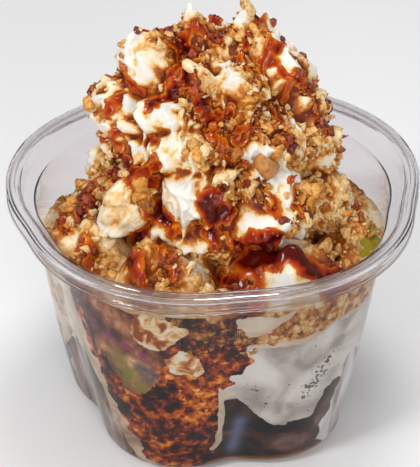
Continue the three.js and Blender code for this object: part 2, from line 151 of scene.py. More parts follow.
# ---------------------------------------------------------------- the cup
# A disposable dessert cup of clear plastic, drawn from one thin hot sheet over a five-lobed mould.
# Its wall turns out into a stacking ledge, a short collar and a flat rim whose edge is turned down.
LOBES = 5
NOTCH_ANGLE = math.radians(277.4)
CUP_HEIGHT = 74.5
RIM_RADIUS = 59.0
RIM_WIDTH = 3.8
RIM_DEPTH = 5.0
SHEET = 0.6
WALL_TOP_RADIUS = 51.4
BASE_RADIUS = 44.1
BASE_FILLET = 5.1
WALL_BULGE = 1.3
LEDGE_Z = CUP_HEIGHT - RIM_DEPTH - 0.6
LOBE_DEPTH = (0.98, 0.26)
NOTCH_SOFTNESS = (0.12, 0.075)
CUP_COLUMNS = 225


def wall_share(z):
    """How far up the wall a height is: 0 at the base's rounded edge and 1 at the ledge."""
    return np.clip((np.asarray(z, float) - BASE_FILLET) / (LEDGE_Z - BASE_FILLET), 0, 1)


def lobe_share(angle, z):
    """Radius at an angle, as a share of the radius at the lobes' tips, at a height."""
    u = wall_share(z)
    depth = LOBE_DEPTH[0] + (LOBE_DEPTH[1] - LOBE_DEPTH[0]) * u
    softness = NOTCH_SOFTNESS[0] + (NOTCH_SOFTNESS[1] - NOTCH_SOFTNESS[0]) * u
    half = math.pi / LOBES
    turn = np.mod(angle - NOTCH_ANGLE, 2 * half)
    from_notch = np.minimum(turn, 2 * half - turn)
    fold = np.hypot(half, softness) - np.hypot(from_notch, softness)
    lobe_radius = 1 / (1 + depth)
    offset = depth * lobe_radius
    return offset * np.cos(fold) + np.sqrt(lobe_radius**2 - (offset * np.sin(fold)) ** 2)


def wall_radius(z, inset=0.0):
    """The lobe tips' radius at a height, on the wall or its rounded base edge, moved in by inset."""
    z = np.asarray(z, float)
    u = wall_share(z)
    straight = BASE_RADIUS + (WALL_TOP_RADIUS - BASE_RADIUS) * u + WALL_BULGE * 4 * u * (1 - u) - inset
    fillet = BASE_FILLET - inset
    drop = np.clip(BASE_FILLET - z, 0, fillet)
    return np.where(z < BASE_FILLET, straight - fillet + np.sqrt(fillet**2 - drop**2), straight)


def lobed_rings(rings, angles):
    """Vertices of rings of (tip radius, z) round the cup."""
    rings = np.asarray(rings)
    radius = rings[:, :1] * lobe_share(angles[None, :], rings[:, 1:])
    height = np.repeat(rings[:, 1:], len(angles), axis=1)
    return np.stack([radius * np.cos(angles), radius * np.sin(angles), height], -1).reshape(-1, 3)


def ring_faces(ring_count, around, closed=True):
    """Quads between neighbouring rings."""
    last = around if closed else around - 1
    i = np.arange(last)
    j = (i + 1) % around
    rows = np.arange(ring_count - 1)[:, None] * around
    return np.stack([rows + i, rows + j, rows + around + j, rows + around + i], -1).reshape(-1, 4)


def rounded(points, radius, steps=4):
    """A polyline with each corner turned into a short arc."""
    points = [np.array(p, float) for p in points]
    result = [points[0]]
    for before, corner, after in zip(points, points[1:], points[2:]):
        back, ahead = before - corner, after - corner
        cut = min(radius, 0.45 * np.linalg.norm(back), 0.45 * np.linalg.norm(ahead))
        start = corner + back / np.linalg.norm(back) * cut
        end = corner + ahead / np.linalg.norm(ahead) * cut
        for t in np.linspace(0, 1, steps):
            result.append((1 - t) ** 2 * start + 2 * t * (1 - t) * corner + t**2 * end)
    return result + [points[-1]]


def cup_section():
    """The sheet's middle line from the centre of the base to the rim's lower edge."""
    half = SHEET / 2
    turn = np.linspace(0, math.pi / 2, 7)
    bend = BASE_FILLET - half
    base_edge = [
        (BASE_RADIUS - BASE_FILLET + bend * math.sin(t), BASE_FILLET - bend * math.cos(t)) for t in turn
    ]
    base = [(r, half) for r in np.linspace(0.5, BASE_RADIUS - BASE_FILLET - 2, 8)]
    wall = [(float(wall_radius(z, half)), z) for z in np.linspace(BASE_FILLET + 3, LEDGE_Z - 1.5, 22)]
    inner = RIM_RADIUS - RIM_WIDTH
    rim = rounded(
        [
            wall[-1],
            (WALL_TOP_RADIUS - half, LEDGE_Z - 0.3),
            (inner - 1.1, LEDGE_Z + 0.4),
            (inner - 0.2, CUP_HEIGHT - half - 0.6),
            (inner + 0.4, CUP_HEIGHT - half),
            (inner + 1.0, CUP_HEIGHT - half),
            (inner + 1.5, CUP_HEIGHT - half - 0.6),
            (RIM_RADIUS - half - 1.2, CUP_HEIGHT - half - 0.6),
            (RIM_RADIUS - half - 0.8, CUP_HEIGHT - half),
            (RIM_RADIUS - half - 0.1, CUP_HEIGHT - half - 0.2),
            (RIM_RADIUS - half - 0.2, CUP_HEIGHT - half - 1.2),
            (RIM_RADIUS - half - 0.7, CUP_HEIGHT - half - 1.9),
            (RIM_RADIUS - half - 0.6, CUP_HEIGHT - RIM_DEPTH + 1.2),
            (RIM_RADIUS - half, CUP_HEIGHT - RIM_DEPTH + 0.8),
            (RIM_RADIUS - half, CUP_HEIGHT - RIM_DEPTH + half),
        ],
        0.45,
    )
    return np.array(base + base_edge + wall[:-1] + rim)


def thickened(line, thickness):
    """Both faces of a sheet along a middle line, as one closed loop of points."""
    along = np.gradient(line, axis=0)
    along /= np.linalg.norm(along, axis=1)[:, None]
    across = np.stack([along[:, 1], -along[:, 0]], 1) * thickness / 2
    return np.concatenate([line + across, (line - across)[::-1]])


def cup_mesh():
    """The cup's vertices and faces, closed at the middle of the base."""
    angles = np.linspace(0, 2 * math.pi, CUP_COLUMNS, endpoint=False) + NOTCH_ANGLE
    section = thickened(cup_section(), SHEET)
    section[:, 0] = np.maximum(section[:, 0], 0.4)
    vertices = lobed_rings(section, angles)
    around = len(angles)
    faces = ring_faces(len(section), around).tolist()
    first, last = len(vertices), len(vertices) + 1
    vertices = np.concatenate([vertices, [[0, 0, section[0, 1]], [0, 0, section[-1, 1]]]])
    top = (len(section) - 1) * around
    for i in range(around):
        j = (i + 1) % around
        faces.append((first, j, i))
        faces.append((last, top + i, top + j))
    return vertices, faces


# Clear thermoformed PET: glossy, with a thin sheet's faint grey cast, and wavy where it was stretched.
clear_pet, clear_pet_output = new_material("clear thermoformed PET")
stretch = add_node(clear_pet, "ShaderNodeTexNoise", {"Scale": 45.0, "Detail": 1.0})
stretch_bump = add_node(
    clear_pet, "ShaderNodeBump", {"Strength": 0.03, "Distance": 0.001}, {"Height": stretch.outputs[0]}
)
finish_material(
    clear_pet,
    clear_pet_output,
    {"Base Color": linear("#eae6e9"), "Roughness": 0.02, "IOR": 1.42, "Transmission Weight": 1.0},
    {"Normal": stretch_bump.outputs[0]},
)
cup_vertices, cup_faces = cup_mesh()
cup = mesh_object("clear_cup", cup_vertices, cup_faces, clear_pet)
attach(cup, "root")
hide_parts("cup")

# ---------------------------------------------------------------- the syrup pool
# Dark coffee and caramel syrup, melted out of the layers above, fills the bottom of the cup.
# It wets the plastic all round, so it is seen straight through the wall.
POOL_TOP = 30.0
FLOOR_Z = SHEET - 0.25


def value_noise(points, size, seed=0):
    """Smooth random bumps, -1 to 1, as wide as size in millimetres."""
    cell = np.floor(points / size)
    t = points / size - cell
    t = t * t * (3 - 2 * t)
    cell = cell.astype(np.int64)
    total = np.zeros(len(points))
    for corner in range(8):
        step = np.array([corner & 1, (corner >> 1) & 1, (corner >> 2) & 1])
        x, y, z = (cell + step).T
        mixed = (x * 73856093) ^ (y * 19349663) ^ (z * 83492791) ^ (seed * 2654435761)
        mixed = ((mixed ^ (mixed >> 13)) * 1274126177) & 0x7FFFFFFF
        value = ((mixed ^ (mixed >> 16)) & 0xFFFF) / 32767.5 - 1
        total += value * np.prod(np.where(step, t, 1 - t), axis=1)
    return total


def bumps(points, size, seed=0, octaves=3):
    """Bumps with finer bumps on them."""
    return sum(value_noise(points, size / 2**o, seed + o) / 2**o for o in range(octaves))


def wall_points(angle, z, recess=0.0, into=0.15):
    """Points where food touches the cup's inner face, a little way into the plastic, or recessed from it."""
    radius = wall_radius(z, SHEET - into) * lobe_share(angle, z) - recess
    radius = np.maximum(radius, 1.0)
    return np.stack([radius * np.cos(angle), radius * np.sin(angle), z + 0 * angle], -1)


def unevenness(x, y, z, wavelength, seed=0.0):
    """Smooth waves, -1 to 1, that the food's layers follow."""
    k = 2 * math.pi / wavelength
    a = np.sin(k * x + 1.3 * np.sin(k * 0.7 * y + seed) + 2.1 * seed)
    b = np.sin(k * y + 1.1 * np.sin(k * 0.8 * z + 1.7 * seed) + 0.9 * seed)
    c = np.sin(k * z + 1.2 * np.sin(k * 0.6 * x - seed) + 1.4 * seed)
    return (a + b + c) / 3


def at_wall(surface, guess_z):
    """A surface's height at the cup's wall, for each angle."""

    def height(angle):
        place = wall_points(angle, np.full_like(angle, guess_z))
        return surface(place[:, 0], place[:, 1])

    return height


def filling(name, low, high, material, into=0.15, rows=16, caps=(6, 6), around=480, guess=(30, 60)):
    """A solid that fills the cup between two surfaces, each a function of x and y."""
    angles = np.linspace(0, 2 * math.pi, around, endpoint=False)
    low_z = at_wall(low, guess[0])(angles)
    high_z = at_wall(high, guess[1])(angles)
    z = low_z + (high_z - low_z) * np.linspace(0, 1, rows)[:, None]
    side = wall_points(np.broadcast_to(angles, z.shape), z, 0.0, into)
    ends = []
    for edge, surface, cap_rows in ((side[0], low, caps[0]), (side[-1], high, caps[1])):
        shrink = np.linspace(1, 0.03, cap_rows)[1:, None, None] * np.array([1, 1, 0]) + np.array([0, 0, 1])
        cap = edge[None] * shrink
        cap[..., 2] = surface(cap[..., 0], cap[..., 1])
        ends.append(cap)
    rings = np.concatenate([ends[0][::-1], side, ends[1]])
    faces = ring_faces(len(rings), around).tolist()
    faces.append(list(range(around))[::-1])
    faces.append([(len(rings) - 1) * around + i for i in range(around)])
    return mesh_object(name, rings.reshape(-1, 3), faces, material)


def per_mm(size):
    """A texture's scale for features of a size in millimetres."""
    return 1 / (size * MM)


def pool_surface(x, y):
    """The syrup's height, with slow waves in it."""
    return POOL_TOP + 1.2 * unevenness(x, y, 0 * x, 34, 2)


def pool_floor(x, y):
    """The height of the cup's floor, the same at every x and y."""
    return FLOOR_Z + 0 * x


# Degrees round the cup are counted as millimetres along its wall at this radius.
UNROLL_RADIUS = 48.0


def vertex_places(made):
    """An object's vertices in millimetres."""
    places = np.empty(len(made.data.vertices) * 3, np.float32)
    made.data.vertices.foreach_get("co", places)
    return places.reshape(-1, 3).astype(float) / MM


def give_values(made, name, values):
    """A number on each vertex of an object, which its material reads by name."""
    attribute = made.data.attributes.new(name, "FLOAT", "POINT")
    attribute.data.foreach_set("value", values.astype(np.float32))


def marked(made, name, spots):
    """Values on a piece at the wall, from 1 to 0 round spots of (degrees, height, radius in mm)."""
    x, y, z = vertex_places(made).T
    turn = np.degrees(np.arctan2(y, x)) % 360
    weight = np.zeros(len(z))
    for angle, height, radius in spots:
        gap = np.hypot(np.radians(turn - angle) * UNROLL_RADIUS, z - height) / radius
        weight = np.maximum(weight, np.exp(-(gap**2)))
    give_values(made, name, weight)


# Dark syrup: nearly black where deep, milky brown to the right, and amber in the thin line at the base.
dark_syrup, dark_syrup_output = new_material("dark syrup")
place = add_node(dark_syrup, "ShaderNodeTexCoord").outputs["Object"]
cloud = add_node(
    dark_syrup,
    "ShaderNodeTexNoise",
    {"Scale": per_mm(16), "Detail": 4.0, "Distortion": 1.2},
    {"Vector": place},
)
axes = add_node(dark_syrup, "ShaderNodeSeparateXYZ", None, {0: place})
milky = add_node(
    dark_syrup, "ShaderNodeMapRange", {1: 0.010, 2: 0.034, 3: 0.0, 4: 0.14}, {0: axes.outputs[0]}
)
cloudy_milk = add_node(
    dark_syrup, "ShaderNodeMath", {"operation": "ADD"}, {0: cloud.outputs[0], 1: milky.outputs[0]}
)
syrup_tone = add_node(
    dark_syrup,
    "ShaderNodeValToRGB",
    None,
    {0: cloudy_milk.outputs[0]},
    [(0.4, "#090405"), (0.53, "#1a0e0e"), (0.64, "#4c281c"), (0.78, "#8c6a5c")],
)
thin = add_node(
    dark_syrup, "ShaderNodeMapRange", {1: 0.0046, 2: 0.0022, 3: 0.0, 4: 1.0}, {0: axes.outputs[2]}
)
amber_line = add_node(
    dark_syrup,
    "ShaderNodeMix",
    {"data_type": "RGBA", 7: linear("#b5732e")},
    {0: thin.outputs[0], 6: syrup_tone.outputs[0]},
)
# Painted reflection: a blue-grey streak up the pool, where the wall folds in at the front notch, stands in
# for light reflected in the plastic's fold.
fold_reflection = add_node(dark_syrup, "ShaderNodeAttribute", {"attribute_name": "fold_reflection"})
syrup_colour = add_node(
    dark_syrup,
    "ShaderNodeMix",
    {"data_type": "RGBA", 7: linear("#777d9a")},
    {0: fold_reflection.outputs["Fac"], 6: amber_line.outputs[2]},
)
finish_material(
    dark_syrup,
    dark_syrup_output,
    {"Roughness": 0.3, "Specular IOR Level": 0.0},
    {"Base Color": syrup_colour.outputs[2]},
)
syrup_pool = filling("syrup", pool_floor, pool_surface, dark_syrup, into=0.1, guess=(FLOOR_Z, POOL_TOP))
# The streak follows the notch up the wall: a painted reflection of light in the fold.
marked(syrup_pool, "fold_reflection", [(277.5 + 0.2 * (z - 8), z, 2.2) for z in range(8, 22, 2)])
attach(syrup_pool, "root")
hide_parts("syrup_pool")

# ---------------------------------------------------------------- ice cream in the cup
# Vanilla ice cream, scooped in and pressed against the plastic, half melted where it meets the syrup.
# One filling runs behind the rest, and two scoops show at the front: a speckled one and a creamy one.
def sunk(y):
    """0 at the front wall, rising to 1 from the middle backwards, where everything has sunk lower."""
    t = np.clip((np.asarray(y, float) + 26) / 26, 0, 1)
    return t * t * (3 - 2 * t)


def crumbs_under(x, y):
    """The height of the crumb layer's underside."""
    return 48.5 - 6 * sunk(y) + 0.11 * x - 0.03 * y + 1.2 * unevenness(x, y, 0 * x, 26, 3)


def crumbs_over(x, y):
    """The height of the crumb layer's top."""
    return crumbs_under(x, y) + 6.5 + 1.0 * unevenness(x, y, 0 * x, 19, 4)


def ice_cream(name, stops, size=9, seeds=None):
    """Frozen cream: matt, a little translucent and streaked, with dark seeds where a patch is marked."""
    material, output = new_material(name)
    place = add_node(material, "ShaderNodeTexCoord").outputs["Object"]
    streak = add_node(
        material,
        "ShaderNodeTexNoise",
        {"Scale": per_mm(size), "Detail": 5.0, "Distortion": 0.8},
        {"Vector": place},
    )
    colour = add_node(material, "ShaderNodeValToRGB", None, {0: streak.outputs[0]}, stops).outputs[0]
    if seeds:
        patch = add_node(material, "ShaderNodeAttribute", {"attribute_name": "seeds"})
        flecks = add_node(
            material, "ShaderNodeTexNoise", {"Scale": per_mm(1.1), "Detail": 2.0}, {"Vector": place}
        )
        dense = add_node(
            material,
            "ShaderNodeMath",
            {"operation": "MULTIPLY_ADD", 1: 0.24},
            {0: patch.outputs["Fac"], 2: flecks.outputs[0]},
        )
        dark = add_node(
            material, "ShaderNodeMapRange", {1: 0.7, 2: 0.76, 3: 0.0, 4: 0.85}, {0: dense.outputs[0]}
        )
        seeded = add_node(
            material,
            "ShaderNodeMix",
            {"data_type": "RGBA", 7: linear(seeds)},
            {0: dark.outputs[0], 6: colour},
        )
        colour = seeded.outputs[2]
    grain = add_node(material, "ShaderNodeTexNoise", {"Scale": per_mm(1.4), "Detail": 4.0}, {"Vector": place})
    relief = add_node(
        material, "ShaderNodeBump", {"Strength": 0.35, "Distance": 0.0006}, {"Height": grain.outputs[0]}
    )
    return finish_material(
        material,
        output,
        {"Roughness": 0.5, "Specular IOR Level": 0.1, "Subsurface Weight": 0.2, "Subsurface Scale": 0.003},
        {"Base Color": colour, "Normal": relief.outputs[0]},
    )


vanilla = ice_cream("vanilla ice cream", [(0.32, "#dcbf9a"), (0.6, "#f3e6d2")])
speckled_vanilla = ice_cream(
    "vanilla ice cream with seeds", [(0.34, "#b9b0a6"), (0.5, "#e6e0d6"), (0.62, "#f8f4ec")], 13, "#35302e"
)
scoop_back = filling(
    "ice_cream_behind",
    lambda x, y: pool_surface(x, y) - 0.4,
    lambda x, y: crumbs_under(x, y) + 0.4,
    vanilla,
    into=0.12,
    guess=(POOL_TOP, 49),
)
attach(scoop_back, "root")
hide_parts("scoop_back")

# Food on the wall is a sheet of points WALL_STEP mm apart, which reaches past its outline by the margins.
# Outside the outline it falls away from the plastic to the deepest recess. Its back lies at PATCH_DEPTH.
WALL_STEP = 0.56
PATCH_MARGIN = 6
TOP_MARGIN = 2
FALL_AWAY = 1.5
DEEPEST_RECESS = 7.0
PATCH_DEPTH = 9.0


def outline_distance(x, y, outline):
    """Signed distance in millimetres to a closed outline, positive inside it."""
    best = np.full(x.shape, np.inf)
    inside = np.zeros(x.shape, bool)
    for (ax, ay), (bx, by) in zip(outline, outline[1:] + outline[:1]):
        dx, dy = bx - ax, by - ay
        t = np.clip(((x - ax) * dx + (y - ay) * dy) / (dx * dx + dy * dy), 0, 1)
        best = np.minimum(best, np.hypot(x - ax - t * dx, y - ay - t * dy))
        crosses = (ay > y) != (by > y)
        with np.errstate(divide="ignore", invalid="ignore"):
            inside ^= crosses & (x < ax + (y - ay) * dx / dy)
    return np.where(inside, best, -best)


def smear(name, outline, material, into, ragged=1.2, ragged_size=5.0, edge=1.6, seed=0):
    """Food pressed on the wall inside an outline of (degrees, height), rounding off away from its edge."""
    flat = [(math.radians(a) * UNROLL_RADIUS, z) for a, z in outline]
    low = np.min(flat, axis=0) - PATCH_MARGIN
    high = np.max(flat, axis=0) + (PATCH_MARGIN, TOP_MARGIN)
    low[1], high[1] = max(low[1], FLOOR_Z + 0.1), min(high[1], LEDGE_Z)
    across = np.arange(low[0], high[0], WALL_STEP)
    up = np.arange(low[1], high[1], WALL_STEP)
    s, z = np.meshgrid(across, up)
    spot = np.stack([s.ravel(), z.ravel(), np.full(s.size, 7.0 * seed)], 1)
    shift = ragged * bumps(spot, ragged_size, seed, 4).reshape(s.shape)
    away = np.maximum(-(outline_distance(s, z, flat) + shift), 0)
    rounding = edge - np.sqrt(np.maximum(edge**2 - np.minimum(away, edge) ** 2, 0))
    recess = np.minimum(rounding + FALL_AWAY * np.maximum(away - edge, 0), DEEPEST_RECESS)
    angle = s / UNROLL_RADIUS
    front = wall_points(angle, z, recess, into).reshape(-1, 3)
    rows, columns = s.shape
    faces = ring_faces(rows, columns, closed=False)
    count = rows * columns
    border = np.concatenate(
        [
            np.arange(columns),
            np.arange(1, rows) * columns + columns - 1,
            count - 2 - np.arange(columns - 1),
            np.arange(rows - 2, 0, -1) * columns,
        ]
    )
    back = wall_points(angle.ravel()[border], z.ravel()[border], PATCH_DEPTH, into)
    here = np.arange(len(border))
    ahead = np.roll(here, -1)
    sides = np.stack([border[ahead], border, here + count, ahead + count], 1)
    all_faces = np.concatenate([faces, sides]).tolist()
    all_faces.append((here + count).tolist())
    return mesh_object(name, np.concatenate([front, back]), all_faces, material)


SCOOP_RIGHT_OUTLINE = [
    (272, 38), (275, 34), (279, 29.5), (283, 25.5), (287, 22.5), (291, 20.5), (296, 19), (301, 18.5),
    (304, 20), (306, 19.5), (308, 23), (310, 28), (314, 30.5), (319, 36), (323, 37), (327, 34), (336, 31),
    (344, 34), (351, 36), (355, 42), (352, 48), (345, 52), (320, 52), (300, 50), (283, 49.5), (277, 46),
    (271, 42),
]
SEED_SPOTS = [
    (304, 32, 3.5), (307, 36.5, 3), (301.5, 28.5, 2.2), (309, 40, 2), (284, 33.5, 1.4), (288, 27, 1.2)
]
SCOOP_LEFT_OUTLINE = [
    (190, 22), (196, 40), (196, 62), (217, 62), (218, 50), (223, 47), (228, 39), (232.5, 29), (238, 18),
    (244, 8), (247.5, 3), (242.5, 2.5), (237, 8), (232, 18), (228, 28), (221, 36), (213, 38), (203, 33),
]
scoop_right = smear("speckled_scoop", SCOOP_RIGHT_OUTLINE, speckled_vanilla, into=0.25, ragged=1.6, seed=3)
marked(scoop_right, "seeds", SEED_SPOTS)
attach(scoop_right, "root")
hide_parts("scoop_right")
melting_cream = ice_cream(
    "melting vanilla ice cream", [(0.34, "#b08c6e"), (0.5, "#e0c4a2"), (0.68, "#fff4de")], 8
)
scoop_left = smear(
    "creamy_scoop", SCOOP_LEFT_OUTLINE, melting_cream, into=0.25, ragged=0.7, ragged_size=9, seed=5
)
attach(scoop_left, "root")
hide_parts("scoop_left")

caramel_streaked = ice_cream(
    "cream streaked with caramel",
    [(0.37, "#a05014"), (0.45, "#e6a656"), (0.54, "#fce6b8"), (0.65, "#fffdf6")],
    4,
)
CREAM_AND_HIGHLIGHT_AT_WALL = {
    "lump_high": (
        caramel_streaked, [(243, 57), (246, 52), (252, 50.5), (258, 53), (261, 58), (257, 61), (246, 61)]
    ),
    "lump_low": (
        caramel_streaked, [(254, 47), (256, 43), (260, 42), (263, 40.5), (266, 43), (265, 48), (260, 50)]
    ),
    "lump_white": (
        vanilla, [(276.5, 61), (277, 57.5), (280, 55.3), (284, 54.6), (288, 56.5), (292, 58.5), (294, 61)]
    ),
    # A thin pale strip along the right edge of the soaked crumble is a painted highlight on the edge of its
    # syrup, not cream.
    "pale_edge": (
        vanilla,
        [
            (271.4, 35), (273, 34), (272.9, 20), (271.8, 12), (269, 8.4), (268, 9.4), (270.6, 12.5),
            (271.5, 20),
        ],
    ),
}
for lump_name, (lump_material, lump_outline) in CREAM_AND_HIGHLIGHT_AT_WALL.items():
    torn = 0.35 if lump_name == "pale_edge" else 0.9
    lump = smear(
        lump_name,
        lump_outline,
        lump_material,
        into=0.36,
        ragged=torn,
        ragged_size=3,
        edge=1.0,
        seed=len(lump_name),
    )
    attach(lump, "root")


def melted_film(name, stops):
    """Melted ice cream and syrup drawn out thin on the plastic, in streaks that run downwards."""
    material, output = new_material(name)
    place = add_node(material, "ShaderNodeTexCoord").outputs["Object"]
    drawn = add_node(material, "ShaderNodeVectorMath", {"operation": "MULTIPLY", 1: (1, 1, 0.22)}, {0: place})
    streaks = add_node(
        material, "ShaderNodeTexNoise", {"Scale": per_mm(5), "Detail": 4.0}, {"Vector": drawn.outputs[0]}
    )
    colour = add_node(material, "ShaderNodeValToRGB", None, {0: streaks.outputs[0]}, stops)
    return finish_material(
        material,
        output,
        {"Roughness": 0.4, "Specular IOR Level": 0.0},
        {"Base Color": colour.outputs[0]},
    )


MELT_FILMS = {
    # The pale film on the right wall is partly melted ice cream; its white streaks running downwards are
    # painted reflections of light in the plastic.
    "melt_right": (
        melted_film(
            "pale melted film and painted streaks", [(0.34, "#8f7f79"), (0.44, "#c6bab5"), (0.54, "#ebe5e2"), (0.64, "#ffffff")]
        ),
        [
            (317, 40), (315, 34), (317, 24), (313, 12), (311, 6), (318, 3.5), (340, 3.5), (345, 7), (343, 12),
            (349, 18), (354, 27), (350, 33), (343, 37), (330, 41),
        ],
    ),
    "melt_left": (
        melted_film(
            "brown melted film", [(0.36, "#4d3128"), (0.48, "#80604f"), (0.58, "#b3968a"), (0.68, "#dcc8bc")]
        ),
        [(191, 5), (205, 3), (236, 3), (240, 8), (237, 20), (232, 30), (224, 36), (206, 32), (192, 22)],
    ),
}
for melt_name, (melt_material, melt_outline) in MELT_FILMS.items():
    melt = smear(
        melt_name, melt_outline, melt_material, into=0.2, ragged=2.2, ragged_size=7, seed=len(melt_name)
    )
    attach(melt, "root")

# ---------------------------------------------------------------- soaked crumble and syrup on the wall
# Biscuit crumble soaked in caramel has slid down inside the front left of the cup, with bubbles and
# amber grains in it, and bright amber rings round some bubbles as painted highlights. Above it a thin
# film of syrup streaks the plastic.
soaked_crumble, soaked_crumble_output = new_material("crumble soaked in caramel")
place = add_node(soaked_crumble, "ShaderNodeTexCoord").outputs["Object"]
drift = add_node(
    soaked_crumble,
    "ShaderNodeTexNoise",
    {"Scale": per_mm(7), "Detail": 8.0, "Roughness": 0.68},
    {"Vector": place},
)
wander = add_node(
    soaked_crumble,
    "ShaderNodeTexNoise",
    {"Scale": per_mm(2.5), "Detail": 3.0, "Roughness": 0.6},
    {"Vector": place},
)
shifted = add_node(
    soaked_crumble,
    "ShaderNodeVectorMath",
    {"operation": "MULTIPLY_ADD", 1: (0.0025, 0.0025, 0.0025)},
    {0: wander.outputs["Color"], 2: place},
)
bubbles = add_node(
    soaked_crumble, "ShaderNodeTexVoronoi", {"Scale": per_mm(3.0)}, {"Vector": shifted.outputs[0]}
)
bubble_wall = add_node(
    soaked_crumble,
    "ShaderNodeMapRange",
    {1: 0.35, 2: 0.7, 3: -0.03, 4: 0.07},
    {0: bubbles.outputs["Distance"]},
)
bubbly = add_node(
    soaked_crumble, "ShaderNodeMath", {"operation": "ADD"}, {0: drift.outputs[0], 1: bubble_wall.outputs[0]}
)
grains = add_node(
    soaked_crumble, "ShaderNodeTexVoronoi", {"Scale": per_mm(1.3)}, {"Vector": shifted.outputs[0]}
)
each_grain = add_node(soaked_crumble, "ShaderNodeSeparateXYZ", None, {0: grains.outputs["Color"]})
grainy = add_node(
    soaked_crumble,
    "ShaderNodeMath",
    {"operation": "MULTIPLY_ADD", 1: 0.12},
    {0: each_grain.outputs[0], 2: bubbly.outputs[0]},
)
# Painted highlights: bright amber rings round some of the trapped bubbles, where light would glint.
trapped = add_node(soaked_crumble, "ShaderNodeTexVoronoi", {"Scale": per_mm(2.4)}, {"Vector": place})
bubble_rim_glint = add_node(
    soaked_crumble,
    "ShaderNodeValToRGB",
    None,
    {0: trapped.outputs["Distance"]},
    [(0.16, "#000000"), (0.24, "#ffffff"), (0.32, "#000000")],
)
which = add_node(soaked_crumble, "ShaderNodeSeparateXYZ", None, {0: trapped.outputs["Color"]})
some = add_node(
    soaked_crumble, "ShaderNodeMath", {"operation": "GREATER_THAN", 1: 0.66}, {0: which.outputs[1]}
)
painted_glints = add_node(
    soaked_crumble,
    "ShaderNodeMath",
    {"operation": "MULTIPLY"},
    {0: bubble_rim_glint.outputs[0], 1: some.outputs[0]},
)
# The painted bubble highlights are added to the crumble's tone here.
with_glints = add_node(
    soaked_crumble,
    "ShaderNodeMath",
    {"operation": "MULTIPLY_ADD", 1: 0.13},
    {0: painted_glints.outputs[0], 2: grainy.outputs[0]},
)
soaked_tone = add_node(
    soaked_crumble,
    "ShaderNodeValToRGB",
    None,
    {0: with_glints.outputs[0]},
    [
        (0.43, "#0a0000"), (0.54, "#3e0700"), (0.61, "#942800"), (0.69, "#dc6c00"), (0.76, "#ffb028"),
        (0.86, "#ffe89c"),
    ],
)
finish_material(
    soaked_crumble,
    soaked_crumble_output,
    {"Roughness": 0.4, "Specular IOR Level": 0.0},
    {"Base Color": soaked_tone.outputs[0]},
)
CRUMBLE_OUTLINE = [
    (251, 1.5), (262, 1.0), (268, 5), (271, 12), (271.5, 20), (271.5, 33), (276, 38), (281, 44), (281, 49),
    (276, 53), (268, 52), (262, 50), (257, 51), (255, 46), (252, 38), (247, 32), (241, 31), (236, 35.5),
    (231, 42), (226, 50), (221.5, 57), (219, 61), (216, 61), (217.5, 54), (223, 46), (228.5, 36), (233, 26),
    (238.5, 15.5), (244.5, 6),
]
crumble = smear(
    "soaked_crumble", CRUMBLE_OUTLINE, soaked_crumble, into=0.3, ragged=1.9, ragged_size=3, seed=8
)
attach(crumble, "root")
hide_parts("crumble_column")

# The film: pinkish brown, with olive, blue and magenta glints painted on it as reflections of light in the
# plastic and the thin syrup.
GLINTS = {
    "olive": ("#8f8a2e", [(238, 43, 4), (241, 38.5, 5), (246, 35, 4)]),
    "blue": ("#2f566e", [(249, 39.5, 3.2), (246.5, 42, 2.4)]),
    "magenta": ("#a03c78", [(224, 53, 2), (229, 51.5, 2), (235, 50.5, 1.6), (241, 49, 1.6), (247, 47, 1.6)]),
}
syrup_film, syrup_film_output = new_material("thin syrup film")
place = add_node(syrup_film, "ShaderNodeTexCoord").outputs["Object"]
film_drift = add_node(
    syrup_film, "ShaderNodeTexNoise", {"Scale": per_mm(8), "Detail": 7.0, "Roughness": 0.6}, {"Vector": place}
)
film_colour = add_node(
    syrup_film,
    "ShaderNodeValToRGB",
    None,
    {0: film_drift.outputs[0]},
    [(0.35, "#2a0c0e"), (0.45, "#6c3428"), (0.54, "#a86848"), (0.63, "#dca070"), (0.73, "#ffe2b2")],
).outputs[0]
film_break = add_node(
    syrup_film, "ShaderNodeTexNoise", {"Scale": per_mm(2.2), "Detail": 3.0}, {"Vector": place}
)
for glint, (glint_colour, _) in GLINTS.items():
    glint_spot = add_node(syrup_film, "ShaderNodeAttribute", {"attribute_name": glint})
    broken = add_node(
        syrup_film,
        "ShaderNodeMath",
        {"operation": "MULTIPLY"},
        {0: glint_spot.outputs["Fac"], 1: film_break.outputs[0]},
    )
    share = add_node(
        syrup_film, "ShaderNodeMapRange", {1: 0.08, 2: 0.6, 3: 0.0, 4: 1.0}, {0: broken.outputs[0]}
    )
    film_colour = add_node(
        syrup_film,
        "ShaderNodeMix",
        {"data_type": "RGBA", 7: linear(glint_colour)},
        {0: share.outputs[0], 6: film_colour},
    ).outputs[2]
finish_material(
    syrup_film, syrup_film_output, {"Roughness": 0.4, "Specular IOR Level": 0.0}, {"Base Color": film_colour}
)
FILM_OUTLINE = [
    (219, 61), (223, 54), (228, 43), (233, 33), (240, 28), (248, 29), (256, 43), (261, 52), (262, 61)
]
film = smear("syrup_film", FILM_OUTLINE, syrup_film, into=0.2, ragged=0.8, seed=12)
for glint, (_, glint_spots) in GLINTS.items():
    marked(film, glint, glint_spots)
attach(film, "root")

